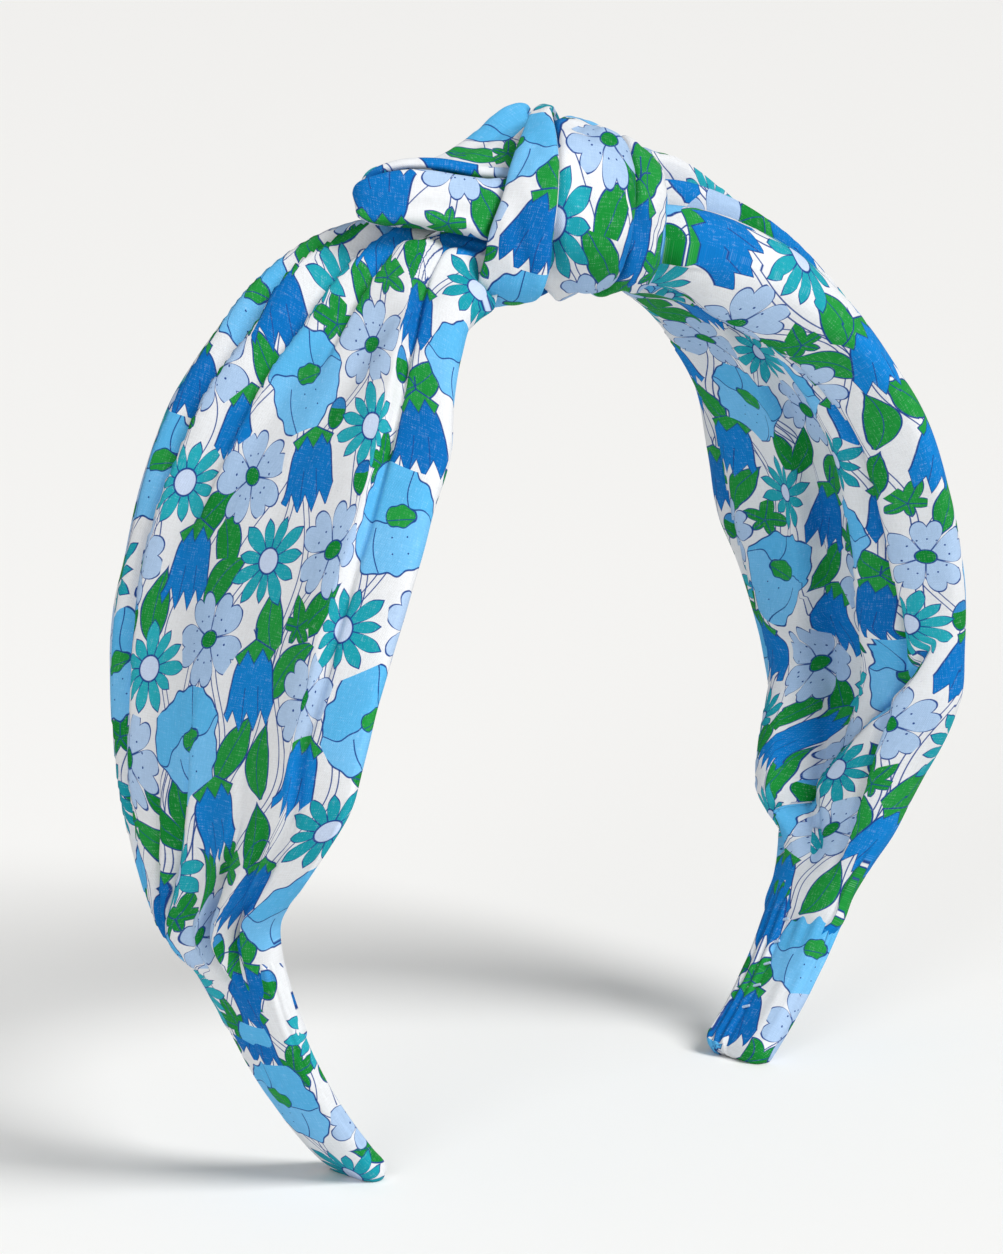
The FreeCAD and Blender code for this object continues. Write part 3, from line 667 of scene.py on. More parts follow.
RIGHT_FOLDS = [
    # inner side, as it shows through the opening
    (-1, -1, [(16, .80, .8), (36, .80, 1.4), (53, .82, 2.0), (74, .80, 2.4), (90, .78, 2.8), (106, .75, 3.0), (122, .73, 2.8), (136, .76, 2.2), (147, .80, 1.4)], 5.0, 2.0, 8.0),
    (-1, 1, [(20, .52, .8), (44, .56, 1.4), (66, .58, 2.2), (84, .58, 2.8), (98, .60, 3.0), (114, .64, 2.8), (128, .67, 2.4), (140, .68, 1.6), (147, .66, 1.2)], 5.5, 2.2, 8.0),
    (-1, -1, [(30, .30, .8), (54, .31, 1.4), (76, .31, 1.9), (96, .32, 2.0), (112, .36, 1.4), (122, .44, .6), (130, .5, 0)], 5.0, 1.8, 7.0),
    (-1, -1, [(14, .20, 1.0), (34, .19, 1.5), (56, .17, 1.7), (76, .16, 1.8), (96, .15, 1.6), (110, .15, .6)], 5.0, 1.2, 5.0),
    (-1, -1, [(102, .02, 0), (112, .12, .9), (122, .30, 1.4), (131, .50, 1.5), (139, .68, 1.0), (145, .80, .4)], 9.0, 1.0, 9.0),
    # outer side
    (1, 1, [(6, .30, 1.6), (24, .28, 2.0), (44, .24, 1.4), (70, .18, .9), (100, .17, .8), (128, .22, .9), (147, .34, .9)], 4.2, 1.4, 6.0),
    (1, 1, [(6, .46, 1.6), (24, .44, 1.9), (44, .40, 1.2), (66, .36, .5), (84, .34, 0)], 4.6, 1.4, 6.0),
    (1, -1, [(6, .60, 1.6), (24, .62, 1.9), (44, .67, 1.3), (70, .74, .9), (100, .78, .8), (128, .72, .9), (147, .62, .9)], 4.6, 1.4, 6.0),
    (1, -1, [(6, .76, 1.0), (24, .80, 1.3), (44, .86, 1.0), (66, .90, .5), (84, .92, 0)], 3.4, 1.2, 5.0),
    (1, -1, [(6, .12, 1.0), (24, .12, 1.3), (44, .10, .9), (62, .08, .3), (74, .07, 0)], 3.4, 1.2, 5.0),
    (1, -1, [(100, .5, 0), (116, .5, .6), (132, .5, 1.0), (147, .5, 1.1)], 2.6, 1.0, 7.0),
    (1, 1, [(106, .36, 0), (120, .36, .6), (134, .38, .9), (147, .42, 1.0)], 2.2, 0.9, 6.0),
]


def sleeve(name, k, rows, folds, seed, s0, s1, rings, half_pts, hollow):
    s = np.linspace(s0, s1, rings)
    T = spline(rows, s)
    back, front, top, bot, droop = (T[:, i][:, None] for i in range(5))
    xh = (np.arange(half_pts) + 0.5) / half_pts
    # ring: outer side from front to back, then inner side from back to front
    x = np.concatenate([xh, xh[::-1]])[None]
    side = np.concatenate([np.ones(half_pts), -np.ones(half_pts)])[None]
    # even spacing over most of the width, closer at the two turned edges
    c = np.sin(np.pi * (x - 0.5)) * 0.35 + 0.65 * (2 * x - 1)
    c = c / np.abs(c).max()
    mid, half = (back + front) / 2, (back - front) / 2
    y = mid + half * c
    D = droop + 0.2
    w0 = (top - bot) / 2
    Th = (top + bot) / 2
    lens = (1 - np.abs(c) ** 3.2) ** 0.5
    # the inner face is hollow between its two rolled edges
    dip = hollow * np.exp(-(((c - 0.08) / 0.50) ** 2)) * smooth(18, 45, s)[:, None] * (1 - smooth(s1 - 22, s1 - 8, s))[:, None]
    w = w0 - D * c**2 + side * Th * lens * (1 - dip * (side < 0))
    S = np.repeat(s[:, None], 2 * half_pts, 1)
    xx = np.repeat(x, rings, 0)
    # the two edges wander a little, as soft cloth does
    ns = Noise(seed)
    edge = np.clip(np.abs(c) * 1.0, 0, 1) ** 4
    calm = smooth(s0, s0 + 20, S) * (1 - smooth(s1 - 24, s1 - 12, S))
    y = y + edge * 0.75 * ns(S / 13.0, 3.0 + 5.0 * np.sign(c)) * calm
    w = w + calm * edge * 0.6 * ns(S / 11.0 + 20, 9.0 + 5.0 * np.sign(c))
    # broad soft hollows and swellings that run along the arm
    long = ns(S / 30.0 + 4, y / 7.0 + 3 + 10 * side)
    long2 = ns(S / 17.0 + 40, y / 3.6 + 30 + 10 * side)
    amp = (0.55 + 0.5 * smooth(0.65 * s1, s1, S) + 0.5 * (1 - smooth(20, 60, S))) * (1 - 0.9 * smooth(s1 - 22, s1 - 10, S))
    w = w + side * lens * amp * (0.75 * long + 0.42 * long2)
    extra = np.zeros_like(y)
    width = back - front
    y_flat, w_flat = y.copy(), w.copy()
    for fs, dirn, hrows, lam, drop, cloth in folds:
        hr = spline(hrows, s)
        pos, a = hr[:, 0][:, None], np.clip(hr[:, 1], 0, None)[:, None]
        lo, hi = hrows[0][0], hrows[-1][0]
        fade = (smooth(lo - 8, lo, s) * (1 - smooth(s1 - 22, s1 - 9, s)))[:, None]
        a = a * fade
        # the line of the fold is never quite straight
        yi = front + width * (pos + 0.012 * ns(s / 9.0 + 7 * len(hrows) + lam, np.full_like(s, lam))[:, None])
        squeeze = np.clip(width / 26.0, 0.38, 1.0)
        lam_, drop_ = lam * squeeze, drop * np.clip(squeeze * 1.4, 0.5, 1)
        d = (y - yi) * dirn
        on = (side == fs)
        raised = np.exp(-(np.clip(d, 0, None) / lam_) ** 2)
        fall = 1 - smooth(0, 1, np.clip(-d, 0, None) / drop_)
        trench = np.exp(-((d + drop_ * 1.1) / (drop_ * 0.9)) ** 2)
        near = 1 + 0.45 * (1 - smooth(25, 60, s)) + 0.35 * smooth(0.7 * s1, 0.9 * s1, s)
        prof = (1.7 if fs < 0 else 1.9) * np.where(d >= 0, raised, fall) - (1.7 if fs < 0 else 1.6) * trench * (d < 0)
        w = w + fs * on * a * near[:, None] * prof * (0.4 + 0.6 * lens)
        over = np.exp(-((d - 0.1) / (0.9 * drop_)) ** 2)
        y = y - on * dirn * over * np.clip(a, 0, 1.6) * 0.55
        # cloth hidden in the fold: the print jumps there
        cs = cloth * smooth(0.05, 0.9, a)
        extra = extra + np.where(on, fs * cs * smooth(-1, 1, (d * dirn) / (0.9 * drop_)), 0.0)
    # the cloth lies over the plastic and the stiffener, never through them
    over_in = 1 - smooth(9.6, 12.0, np.abs(y))
    over_out = 1 - smooth(half - 8.0, half - 5.5, np.abs(y - mid))
    w = np.where(side < 0, w - over_in * np.clip(w + 1.9, 0, None), w + over_out * np.clip(2.5 - w, 0, None) * (S < s1 - 5))
    C, Tn, N = centre(s, k)
    P = C[:, None, :] + N[:, None, :] * w[..., None]
    P[..., 1] = y
    # flat coordinates of the cloth, measured round the tube before it is folded, with the seam at the back edge
    Pf = C[:, None, :] + N[:, None, :] * w_flat[..., None]
    Pf[..., 1] = y_flat
    Q = np.concatenate([Pf, Pf[:, :1]], 1)
    arc = np.concatenate([np.zeros((rings, 1)), np.cumsum(np.linalg.norm(np.diff(Q, axis=1), axis=2), 1)], 1)
    # ring starts at the front edge on the outer side: outer positive, inner negative
    u = np.empty((rings, 2 * half_pts + 1))
    u[:, :] = arc
    tot = arc[:, -1:]
    u[:, half_pts:] = arc[:, half_pts:] - tot
    ex = np.concatenate([extra, extra[:, :1]], 1)
    # extra on the inner side counts from the front edge too
    ex_in = extra[:, half_pts:]
    ex[:, half_pts:-1] = ex_in
    ex[:, -1] = ex_in[:, -1]
    u = u + ex
    uu = np.empty((rings, 2 * half_pts + 1, 2))
    uu[..., 0] = u
    uu[..., 1] = -np.concatenate([S, S[:, :1]], 1)
    return s, P, uu, half_pts


def sleeve_object(name, k, rows, folds, seed, s0, s1, rings, half_pts, shift, hollow):
    s, P, UV, hp = sleeve(name, k, rows, folds, seed, s0, s1, rings, half_pts, hollow)
    n, m = P.shape[:2]
    UV = UV + np.array(shift)
    verts = [tuple(v) for v in (P.reshape(-1, 3) * MM)]
    faces, uvs = [], []
    for i in range(n - 1):
        for j in range(m):
            q = (j + 1) % m
            face = (i * m + j, i * m + q, (i + 1) * m + q, (i + 1) * m + j)
            if j == hp - 1:
                # across the back edge, where the tube's seam is: keep to the outer side's coordinates
                step = np.linalg.norm(P[i, j] - P[i, q])
                a, b = UV[i, j], UV[i, j] + [step, 0]
                c, d = UV[i + 1, j] + [step, 0], UV[i + 1, j]
                uv4 = [a, b, c, d]
            else:
                uv4 = [UV[i, j], UV[i, j + 1], UV[i + 1, j + 1], UV[i + 1, j]]
            if k > 0:
                face, uv4 = face[::-1], uv4[::-1]
            faces.append(face)
            uvs += uv4
    for ring in (0, n - 1):
        c = P[ring].mean(0)
        ci = len(verts)
        verts.append(tuple(c * MM))
        for j in range(m):
            q = (j + 1) % m
            f = (ring * m + j, ring * m + q, ci)
            if (ring == 0) == (k < 0):
                f = f[::-1]
            faces.append(f)
            uvs += [UV[ring, j]] * 3
    me = bpy.data.meshes.new(name)
    me.from_pydata(verts, [], faces)
    lay = me.uv_layers.new(name="cloth")
    lay.data.foreach_set("uv", (np.array(uvs) * MM).astype(np.float32).ravel())
    me.polygons.foreach_set("use_smooth", [True] * len(me.polygons))
    me.update()
    ob = bpy.data.objects.new(name, me)
    COLL.objects.link(ob)
    me.materials.append(PRINT)
    return ob


left = sleeve_object("left_sleeve_cloth", -1, LEFT, LEFT_FOLDS, 3, 3.0, 150.0, 250, 130, (8.0, 4.0), 0.35)
right = sleeve_object("right_sleeve_cloth", 1, RIGHT, RIGHT_FOLDS, 8, 3.0, 156.0, 262, 130, (33.0, 50.0), 0.55)


# --- tips --------------------------------------------------------------------
def tip_object(name, k, gather, shift, w0, w1, offy, seed, pleats=()):
    s0 = gather - 5.0
    s = np.concatenate([np.linspace(s0, S_TIP - 2.6, 84), S_TIP - 2.6 * (1 - np.sin(np.linspace(0, np.pi / 2, 12)[1:]))])
    m = 144
    ph = 2 * np.pi * np.arange(m) / m
    ns = Noise(seed)
    f = np.clip((s - gather) / (S_TIP - gather), 0, 1)
    endr = np.sqrt(np.clip(1 - np.clip((s - (S_TIP - 2.6)) / 2.6, 0, 1) ** 2, 0, 1))
    half = (w0 + (w1 - w0) * f) / 2
    half = half * (1 - 0.45 * (1 - endr))
    th = (2.75 + (2.45 - 2.75) * f) * (0.15 + 0.85 * endr)
    half = half * smooth(s0 - 8, gather + 2, s)
    c, sn = np.cos(ph), np.sin(ph)
    rr = (np.abs(c) ** 3.0 + np.abs(sn) ** 3.0) ** (-1 / 3.0)
    S = np.repeat(s[:, None], m, 1)
    y = (offy[0] + (offy[1] - offy[0]) * f)[:, None] + half[:, None] * (c * rr)[None]
    w = th[:, None] * (sn * rr)[None]
    # lengthwise creases that die out towards the end
    cre = np.exp(-((S - gather) / 15.0))
    lump = ns(S / 12.0, ph[None] * 2.2 + 3) * 0.22 + ns(S / 5.0 + 30, ph[None] * 4.0) * 0.10
    lump = lump + cre * 0.5 * ns(S / 14.0 + 9, ph[None] * 5.0)
    w = w * (1 + 0.0 * S) + np.sign(sn)[None] * lump * np.abs(sn)[None]
    # turned edges that lie on each other along one side of the inner face
    X = c * rr
    for place, high in pleats:
        d = (X[None] - place) * half[:, None]
        step = np.where(d >= 0, np.exp(-((d / 2.2) ** 2)), 1 - smooth(0, 0.55, -d)) - 0.5 * np.exp(-(((d + 0.6) / 0.4) ** 2)) * (d < 0)
        w = w + np.sign(sn)[None] * (sn[None] < -0.2) * high * step * smooth(gather - 2, gather + 10, s)[:, None]
    y = y + c[None] * lump * 0.8
    C, Tn, N = centre(s, k)
    P = C[:, None, :] + N[:, None, :] * w[..., None]
    P[..., 1] = y
    P[..., 2] = np.maximum(P[..., 2], 0.02)
    Q = np.concatenate([P, P[:, :1]], 1)
    arc = np.concatenate([np.zeros((len(s), 1)), np.cumsum(np.linalg.norm(np.diff(Q, axis=1), axis=2), 1)], 1)
    UV = np.stack([arc - arc[:, -1:] / 2, -np.concatenate([S, S[:, :1]], 1)], -1) + np.array(shift)
    if k > 0:
        P = P[:, ::-1]
        UV = UV[:, ::-1]
    return grid_object(name, P, UV)


left_tip = tip_object("left_tip_cloth", -1, 134.0, (21.0, 11.0), 15.2, 11.2, (0.9, -1.1), 21)
right_tip = tip_object("right_tip_cloth", 1, 144.0, (4.0, 37.0), 14.4, 12.2, (0.7, 1.5), 22, ((0.25, 0.5), (0.50, 0.5), (0.74, 0.5)))


# --- swept folds of the knot -------------------------------------------------
def catmull(rows, n, closed):
    R = np.asarray(rows, float)
    k = len(R)
    if closed:
        seg = np.linalg.norm(np.roll(R, -1, 0)[:, :3] - R[:, :3], axis=1)
        t = np.concatenate([[0], np.cumsum(seg)])
        tt = np.linspace(0, t[-1], n, endpoint=False)
        idx = np.clip(np.searchsorted(t, tt, side="right") - 1, 0, k - 1)
        f = (tt - t[idx]) / seg[idx]
        p0, p1, p2, p3 = R[(idx - 1) % k], R[idx], R[(idx + 1) % k], R[(idx + 2) % k]
    else:
        seg = np.linalg.norm(R[1:, :3] - R[:-1, :3], axis=1)
        t = np.concatenate([[0], np.cumsum(seg)])
        tt = np.linspace(0, t[-1], n)
        idx = np.clip(np.searchsorted(t, tt, side="right") - 1, 0, k - 2)
        f = (tt - t[idx]) / seg[idx]
        p0, p1, p2, p3 = R[np.clip(idx - 1, 0, k - 1)], R[idx], R[idx + 1], R[np.clip(idx + 2, 0, k - 1)]
    f = f[:, None]
    return 0.5 * ((2 * p1) + (-p0 + p2) * f + (2 * p0 - 5 * p1 + 4 * p2 - p3) * f**2 + (-p0 + 3 * p1 - 3 * p2 + p3) * f**3), tt


def swept(name, rows, closed, rings, m, power, seed, shift, wrinkles=(), rough=0.25, turn=False, hint=None):
    """rows: x, y, height over the crown line, width direction (3), half width, half thickness, all mm."""
    R, tt = catmull(rows, rings, closed)
    C = R[:, :3].copy()
    C[:, 2] += Z_CROWN
    if closed:
        D = np.roll(C, -1, 0) - np.roll(C, 1, 0)
    else:
        D = np.gradient(C, axis=0)
    D /= np.linalg.norm(D, axis=1)[:, None]
    A = R[:, 3:6]
    A = A - D * (A * D).sum(1)[:, None]
    A /= np.linalg.norm(A, axis=1)[:, None]
    B = np.cross(D, A)
    a, b = R[:, 6], R[:, 7]
    ph = 2 * np.pi * np.arange(m) / m
    c, sn = np.cos(ph), np.sin(ph)
    rr = (np.abs(c) ** power + np.abs(sn) ** power) ** (-1 / power)
    X, Y = (c * rr)[None] * a[:, None], (sn * rr)[None] * b[:, None]
    ns = Noise(seed)
    L = tt[:, None]
    per = (tt[-1] + (tt[1] - tt[0])) if closed else None
    if closed:
        # noise that closes on itself along the ring
        q = 2 * np.pi * L / per
        n1 = ns(3 * np.cos(q) + 11, X / 2.6 + 3 * np.sin(q)) * np.abs(sn)[None]
        n2 = ns(6 * np.cos(q) + 31, X / 1.7 + 6 * np.sin(q) + 9)
    else:
        n1 = ns(L / 9.0 + 11, X / 2.6) * np.abs(sn)[None]
        n2 = ns(L / 5.0 + 31, X / 1.7 + 9)
    Y = Y + np.sign(sn)[None] * rough * (1.3 * n1 + 0.6 * n2) * np.abs(sn)[None] ** 0.5
    ex = np.zeros_like(X)
    for pos0, pos1, amp, lam, drop, dirn, face in wrinkles:
        f = L / L.max()
        pos = pos0 + (pos1 - pos0) * f + 0.05 * np.sin(6 * f + seed)
        d = (X / np.maximum(a[:, None], 0.1) - pos) * a[:, None] * dirn
        on = (np.sign(sn)[None] == face)
        env = np.sin(np.pi * np.clip(f, 0, 1)) ** 0.4 if not closed else 1.0
        prof = np.where(d >= 0, np.exp(-(d / lam) ** 2), 1 - smooth(0, 1, -d / drop)) - 0.5 * np.exp(-((d + drop) / (0.8 * drop)) ** 2) * (d < 0)
        Y = Y + face * on * amp * prof * env * np.abs(sn)[None] ** 0.5
    P = C[:, None] + A[:, None] * X[..., None] + B[:, None] * Y[..., None]
    Q = np.concatenate([P, P[:, :1]], 1)
    arc = np.concatenate([np.zeros((len(C), 1)), np.cumsum(np.linalg.norm(np.diff(Q, axis=1), axis=2), 1)], 1)
    arc = arc - arc[:, -1:] / 2
    UL = np.repeat(tt[:, None], m + 1, 1)
    UV = np.stack([UL, arc], -1) if turn else np.stack([arc, UL], -1)
    UV = UV + np.array(shift)
    if closed:
        P = np.concatenate([P, P[:1]], 0)
        last = UV[0].copy()
        last[:, 0 if turn else 1] += per
        UV = np.concatenate([UV, last[None]], 0)
    ob = grid_object(name, P, UV, caps=(not closed, not closed))
    if closed:
        import bmesh
        bm = bmesh.new()
        bm.from_mesh(ob.data)
        bmesh.ops.remove_doubles(bm, verts=bm.verts, dist=1e-7)
        bm.to_mesh(ob.data)
        bm.free()
    return ob


# rings that go right round the band
STRAP = [(-16.77, -6.08, -5.29, 0.54, -0.82, 0.2, 3.95, 1.35), (-19.23, -9.65, -3.27, 0.56, -0.82, 0.13, 4.61, 1.2), (-19.32, -11.41, 0.43, 0.56, -0.83, 0.05, 4.79, 1.3),
       (-18.81, -11.69, 4.28, 0.56, -0.83, 0.05, 4.65, 1.3), (-16.97, -11.49, 8.96, 0.53, -0.85, 0.04, 4.16, 1.3), (-13.99, -9.6, 13.86, 0.51, -0.86, 0.1, 3.61, 1.3),
       (-9.7, -6.02, 17.47, 0.56, -0.82, 0.14, 2.62, 1.2), (-4.77, -1.55, 19.76, 0.53, -0.84, 0.12, 1.59, 1.1), (-0.53, 1.57, 19.62, 0.51, -0.83, -0.24, 1.09, 1.1),
       (3.5, 6.8, 16.2, 0.8, -0.6, 0, 3, 1.55), (7.5, 12, 10.5, 0.8, -0.6, 0, 4.2, 1.65), (9, 14.2, 4, 0.85, -0.5, 0, 4.8, 1.65),
       (8.2, 12.4, -3, 0.85, -0.5, 0, 4.6, 1.55), (2, 5.5, -4.9, 0.65, -0.75, 0, 4, 1.45), (-8, -1.5, -5, 0.6, -0.8, 0, 3.8, 1.35)]
LOBE = [(-3.85, -6.22, -4.53, 0.78, -0.63, -0.03, 5.6, 1.9), (-5.38, -9.31, -1.69, 0.83, -0.55, -0.05, 6.78, 3.8), (-6.44, -11.36, 2.88, 0.86, -0.5, -0.04, 7.51, 4.6),
       (-5.79, -11.35, 7.59, 0.88, -0.47, -0.04, 7.66, 4.9), (-3.97, -9.83, 11.06, 0.89, -0.46, -0.02, 7.47, 4.9), (-1.14, -6.94, 13.27, 0.87, -0.48, -0.04, 6.91, 4.7),
       (2.15, -3.02, 13.69, 0.86, -0.5, -0.12, 5.89, 4.5), (5.67, 0.75, 12.97, 0.84, -0.52, -0.17, 4.93, 4.4), (10, 6.5, 11.3, 0.85, -0.5, -0.1, 6.2, 3.1),
       (12.3, 10.8, 6.5, 0.85, -0.5, -0.1, 6.6, 3), (12.6, 12, 0.8, 0.85, -0.5, -0.1, 6.4, 2.6), (10.3, 9, -3.6, 0.85, -0.5, -0.1, 5.8, 2.1),
       (4, 1.5, -4.3, 0.85, -0.5, 0, 5.4, 1.5), (-0.6, -3, -4.3, 0.8, -0.6, 0, 5.4, 1.5)]
CRES = [(5.47, -6.98, -5.49, 0.82, -0.58, 0.03, 4.27, 1.4), (4.75, -9.56, -2.89, 0.92, -0.38, -0.11, 4.73, 3), (4.59, -10.72, 0.93, 0.97, -0.21, -0.08, 5.27, 3.5),
       (5.46, -10.29, 5.74, 0.98, -0.18, -0.06, 5.46, 3.7), (6.84, -8.59, 9.23, 0.98, -0.17, 0, 5.49, 3.7), (8.68, -5.62, 11.15, 0.97, -0.23, 0.02, 4.86, 3.6),
       (10.71, -1.74, 10.92, 0.95, -0.31, -0.02, 3.67, 3.5), (13.31, 2.74, 10.25, 0.94, -0.33, -0.1, 4.8, 3.5), (16.2, 8.3, 8, 0.94, -0.33, -0.1, 5.2, 2.4),
       (17.2, 11, 3, 0.94, -0.33, -0.1, 5.2, 2.2), (16.4, 10.2, -1.8, 0.94, -0.33, -0.1, 5, 1.8), (13, 5, -4.2, 0.94, -0.33, 0, 4.6, 1.2),
       (8, -3, -4.4, 0.9, -0.45, 0, 4.2, 1.1)]
strap = swept("knot_strap_cloth", STRAP, True, 220, 84, 3.6, 41, (5.0, 22.0), [(-.35, -.25, .40, 2.0, .6, 1, 1), (.55, .45, .35, 1.8, .6, -1, 1)], 0.16)
lobe = swept("knot_lobe_cloth", LOBE, True, 210, 120, 2.2, 42, (31.0, 2.0), [(-.1, 0, .9, 3.0, .9, 1, 1), (.40, .50, 1.0, 2.6, .8, -1, 1), (.68, .66, .9, 2.0, .7, 1, 1)], 0.45)
cres = swept("knot_crescent_cloth", CRES, True, 210, 110, 2.1, 43, (48.0, 40.0), [(.25, .3, 1.0, 2.0, .7, -1, 1), (.62, .56, .9, 1.8, .6, 1, 1)], 0.40)
# the two folds of the loop on the left
LOW = [(-32.35, 8.34, 8.25, 0.36, 0.14, 0.92, 2.17, 0.8), (-31.79, 7.13, 8.83, 0.37, 0.19, 0.91, 3.17, 1.35), (-29.22, 4.37, 9.3, 0.38, 0.24, 0.9, 3.95, 1.75),
       (-26.15, 1.4, 9.3, 0.34, 0.28, 0.9, 4.24, 1.95), (-22.53, -1.6, 8.59, 0.33, 0.3, 0.9, 4.17, 2.05), (-19.21, -4.2, 7.8, 0.3, 0.31, 0.9, 4.31, 2.05),
       (-15.59, -5.67, 6.99, 0.3, 0.31, 0.9, 4.46, 1.85), (-10.55, -5.08, 5.74, 0.28, 0.34, 0.9, 4.27, 1.05)]
MID = [(-30.19, 9.13, 10.8, 0.72, 0.08, 0.69, 0.76, 0.6), (-28.36, 8.01, 11.97, 0.81, -0.01, 0.59, 1.21, 1.2), (-25.25, 6.12, 12.81, 0.83, 0.19, 0.53, 1.38, 1.6),
       (-21.47, 3.36, 12.94, 0.65, 0.44, 0.62, 1.3, 1.7), (-18.03, 0.97, 12.25, 0.68, 0.4, 0.61, 1.32, 1.6), (-14.76, -1.28, 11.5, 0.64, 0.49, 0.6, 1.24, 1.5),
       (-11.56, -2.99, 11.36, 0.64, 0.49, 0.6, 1.24, 1.2), (-8.38, -3.49, 10.94, 0.68, 0.51, 0.53, 1.13, 0.8)]
UP = [(-28.93, 11.03, 9.81, 0.71, 0.46, 0.54, 1.45, 0.5), (-26.94, 10.39, 11.22, 0.8, 0.38, 0.46, 2.25, 0.9), (-22.89, 8.65, 11.8, 0.8, 0.52, 0.3, 2.86, 1.1),
       (-18.79, 6.74, 11.96, 0.7, 0.67, 0.25, 3.37, 1.3), (-14.73, 5.18, 12.23, 0.66, 0.67, 0.32, 4.68, 1.4), (-10.97, 4.34, 12.99, 0.66, 0.65, 0.39, 5.7, 1.5),
       (-7.57, 3.97, 14.1, 0.62, 0.63, 0.46, 6, 1.5), (-4.4, 3.86, 15.36, 0.58, 0.61, 0.53, 5.9, 1.5), (-1.35, 3.94, 15.94, 0.54, 0.63, 0.56, 5.83, 1.4),
       (1.95, 4.25, 15.29, 0.49, 0.66, 0.57, 4.47, 1.1)]
low = swept("knot_lower_fold_cloth", LOW, False, 150, 100, 4.2, 44, (14.0, 60.0), [(.62, .66, .75, 1.6, .5, 1, -1), (.10, -.1, .5, 2.2, .6, -1, -1), (-.55, -.6, .5, 1.8, .5, 1, -1)], 0.32, turn=True)
up = swept("knot_upper_fold_cloth", UP, False, 150, 110, 3.2, 45, (40.0, 66.0), [(-.35, -.3, .9, 2.4, .7, 1, -1), (.3, .2, 1.1, 2.4, .7, -1, -1), (.65, .6, .7, 2.0, .7, -1, -1)], 0.30, turn=True)
ridge = swept("knot_upper_fold_ridge", MID, False, 120, 60, 2.6, 46, (22.0, 31.0), [], 0.22, turn=True)


def join(into, other):
    """Puts other's mesh into the first object's, keeping the cloth coordinates."""
    import bmesh
    bm = bmesh.new()
    bm.from_mesh(into.data)
    bm.from_mesh(other.data)
    bm.to_mesh(into.data)
    bm.free()
    into.data.update()
    bpy.data.objects.remove(other)


join(up, ridge)


def tuck(ob, others, depth, near, swell, far):
    """Cloth dips steeply where it goes under a neighbour, and swells a little beside it. All mm."""
    from mathutils.bvhtree import BVHTree
    trees = []
    for o in others:
        V = [v.co.copy() for v in o.data.vertices]
        F = [tuple(p.vertices) for p in o.data.polygons]
        vol = sum(V[f[0]].dot(V[f[i]].cross(V[f[i + 1]])) for f in F for i in range(1, len(f) - 1))
        lo = Vector([min(v[i] for v in V) for i in range(3)])
        hi = Vector([max(v[i] for v in V) for i in range(3)])
        trees.append((BVHTree.FromPolygons(V, F), 1.0 if vol > 0 else -1.0, lo, hi))
    me = ob.data
    me.update()
    vol = sum(me.vertices[p.vertices[0]].co.dot(me.vertices[p.vertices[i]].co.cross(me.vertices[p.vertices[i + 1]].co))
              for p in me.polygons for i in range(1, len(p.vertices) - 1))
    way = 1.0 if vol > 0 else -1.0
    reach = far * MM
    moves = []
    for v in me.vertices:
        best = None
        for tree, sign, lo, hi in trees:
            if any(v.co[i] < lo[i] - reach or v.co[i] > hi[i] + reach for i in range(3)):
                continue
            loc, nor, _, dist = tree.find_nearest(v.co, reach * 2)
            if loc is None:
                continue
            d = dist / MM * (-1.0 if (v.co - loc).dot(nor) * sign < 0 else 1.0)
            if best is None or d < best:
                best = d
        if best is None or best > far:
            continue
        d = max(best, 0.0)
        push = -depth * math.exp(-((d / near) ** 2))
        if best > 0:
            t1, t2 = min(d / (1.6 * near), 1.0), min(max((d - 1.6 * near) / (far - 1.6 * near), 0.0), 1.0)
            push += swell * t1 * t1 * (3 - 2 * t1) * (1 - t2 * t2 * (3 - 2 * t2))
        moves.append((v.index, v.normal.copy() * (push * MM * way)))
    for i, m in moves:
        me.vertices[i].co += m
    me.update()


# rolled cloth inside the knot, which closes its back and hides the ends of the sleeves
CORE = [(-13, 4, 4, 0, 1, 0, 3.5, 2.6), (-10, 3.2, 4, 0, 1, 0, 6.6, 4.8), (-4, 2.4, 4.2, 0, 1, 0, 9, 7), (3, 2.2, 4.3, 0, 1, 0, 9.4, 7.2),
        (9, 2.6, 3.8, 0, 1, 0, 8.6, 6.4), (14, 3, 3.2, 0, 1, 0, 6, 4.6), (17, 3.2, 3, 0, 1, 0, 3.4, 2.6)]
core = swept("knot_core_cloth", CORE, False, 90, 96, 2.3, 48, (9.0, 44.0), [(-.3, .2, 1.0, 2.2, .8, 1, 1), (.4, .5, .9, 2.2, .8, -1, 1), (.1, -.3, 1.0, 2.2, .8, 1, -1)], 0.8)

tuck(lobe, [strap], 1.9, 0.8, 0.9, 4.5)
tuck(cres, [lobe], 1.8, 0.8, 0.7, 4.0)
tuck(up, [strap, low], 1.5, 0.7, 0.2, 3.5)
tuck(low, [strap], 1.4, 0.7, 0.5, 3.5)
tuck(left, [low, strap], 1.6, 1.6, 0.2, 5.0)
tuck(right, [cres, lobe], 1.3, 0.9, 0.6, 4.0)

# =============================================================================
# riding, replacing
# =============================================================================
def at(s, k, w=0.0):
    c, d, n = centre(np.array([float(s)]), k)
    p = (c + n * w)[0] * MM
    return tuple(float(v) for v in p)


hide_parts("left_sleeve")
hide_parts("right_sleeve")
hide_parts("left_tip_cover")
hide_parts("right_tip_cover")
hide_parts("knot_centre_wrap")
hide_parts("knot_right_lobe")
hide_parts("knot_core")
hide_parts("knot_right_neck")
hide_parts("knot_left_lower_fold")
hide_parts("knot_left_upper_fold")
at(24, -1)
at(62, -1)
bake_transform(left)
at(24, 1)
at(62, 1)
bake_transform(right)
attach(left_tip, "left_arm")
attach(right_tip, "right_arm")
for o in (strap, lobe, cres, low, up, core):
    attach(o, "crown")

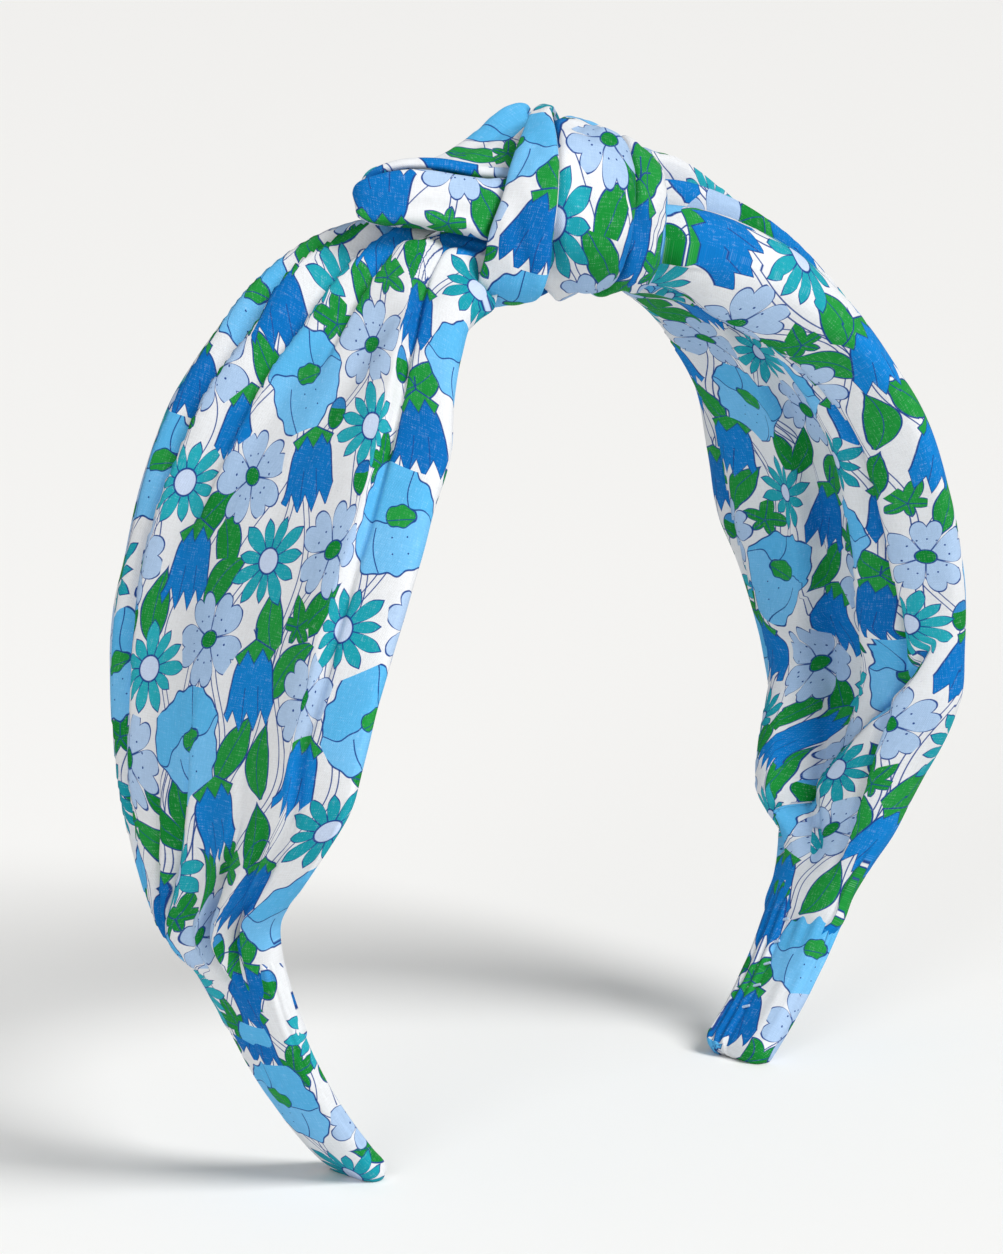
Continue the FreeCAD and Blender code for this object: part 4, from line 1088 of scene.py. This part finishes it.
# CAD pieces that stay, with their own materials
PLASTIC = plain_material("moulded_plastic", srgb("e9e8e4"), 0.42, "plastic")
FELT = plain_material("interlining", srgb("efefec"), 0.85, "felt")
THREAD = plain_material("sewing_thread", srgb("a9bfd8"), 0.7, "thread")
GLUE = plain_material("hot_melt", srgb("e6dcb8"), 0.3, "glue")
for node, m in (("hoop_crown", PLASTIC), ("hoop_left_arm", PLASTIC), ("hoop_right_arm", PLASTIC), ("left_stiffener", FELT),
                ("right_stiffener", FELT), ("left_gather_glue", GLUE), ("right_gather_glue", GLUE), ("left_tip_stitches", THREAD),
                ("right_tip_stitches", THREAD), ("knot_tack_stitches", THREAD)):
    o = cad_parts[node]
    for i in range(len(o.material_slots)):
        o.material_slots[i].material = m
    if not o.material_slots:
        o.data.materials.append(m)

# =============================================================================
# floor, light, camera
# =============================================================================
me = bpy.data.meshes.new("studio_floor")
az = math.radians(-44.0)
fwd = Vector((-math.sin(az), math.cos(az), 0))
side = Vector((math.cos(az), math.sin(az), 0))
vs, fs = [], []
ys = [-3.0, -1.0, -0.5, 0.0, 0.5, 1.0, 2.0, 3.5, 6.0, 9.0]
for y in ys:
    for j in range(9):
        p = fwd * y + side * (-5 + 10 * j / 8)
        vs.append(tuple(p))
for i in range(len(ys) - 1):
    for j in range(8):
        fs.append((i * 9 + j, i * 9 + j + 1, (i + 1) * 9 + j + 1, (i + 1) * 9 + j))
me.from_pydata(vs, [], fs)
floor = bpy.data.objects.new("studio_floor", me)
COLL.objects.link(floor)
fm = bpy.data.materials.new("pale_floor")
fm.use_nodes = True
g = NT(fm.node_tree)
b = next(n for n in fm.node_tree.nodes if n.type == "BSDF_PRINCIPLED")
nz = fm.node_tree.nodes.new("ShaderNodeTexNoise")
nz.inputs["Scale"].default_value = 2.0
c, _ = g.ramp(nz.outputs[0], [(0.3, srgb("f0f0ef")), (0.7, srgb("f2f1f0"))])
g.put(b, "Base Color", c)
b.inputs["Roughness"].default_value = 0.9
b.inputs["Specular IOR Level"].default_value = 0.1
me.materials.append(fm)


def area(name, loc, target, size, power, colour=(1, 1, 1)):
    d = bpy.data.lights.new(name, "AREA")
    d.shape = "RECTANGLE"
    d.size, d.size_y = size
    d.energy = power
    d.color = colour
    o = bpy.data.objects.new(name, d)
    COLL.objects.link(o)
    o.location = loc
    o.rotation_euler = (Vector(target) - Vector(loc)).to_track_quat("-Z", "Y").to_euler()
    return o


mid = (0, 0, 0.07)
right_v = side
back_v = -fwd


def spot(rx, bk, z):
    p = right_v * rx + back_v * bk
    return (p.x, p.y, z)


sun = bpy.data.lights.new("key", "SUN")
sun.energy, sun.angle, sun.color = 2.75, math.radians(26), (1.0, 0.995, 0.985)
so = bpy.data.objects.new("key", sun)
COLL.objects.link(so)
so.location = spot(1.2, 0.5, 1.5)
so.rotation_euler = (Vector((0, 0, 0)) - Vector(spot(1.05, 0.75, 1.35))).to_track_quat("-Z", "Y").to_euler()
area("fill", spot(-0.8, 1.9, 0.75), mid, (1.0, 1.0), 13.0, (1.0, 1.0, 1.0))
w = bpy.data.worlds.new("studio")
w.use_nodes = True
w.node_tree.nodes["Background"].inputs[0].default_value = (1.0, 0.995, 0.985, 1)
w.node_tree.nodes["Background"].inputs[1].default_value = 0.36
bpy.context.scene.world = w

cam = bpy.data.cameras.new("camera")
co = bpy.data.objects.new("camera", cam)
COLL.objects.link(co)
AZ, EL, DIST, TX, TZ, FPX = -44.0, 12.5, 0.900, -0.0082, 0.0760, 6010.0
a, e = math.radians(AZ), math.radians(EL)
back = Vector((math.sin(a) * math.cos(e), -math.cos(a) * math.cos(e), math.sin(e)))
tgt = Vector((TX * math.cos(a), TX * math.sin(a), TZ))
co.location = tgt + back * DIST
co.rotation_euler = (-back).to_track_quat("-Z", "Y").to_euler()
cam.sensor_fit = "VERTICAL"
cam.sensor_height = 24.0
cam.lens = 24.0 * FPX / 1254.0
cam.clip_start, cam.clip_end = 0.01, 20.0
cam.dof.use_dof = False
bpy.context.scene.camera = co
bpy.context.scene.view_settings.view_transform = "Standard"
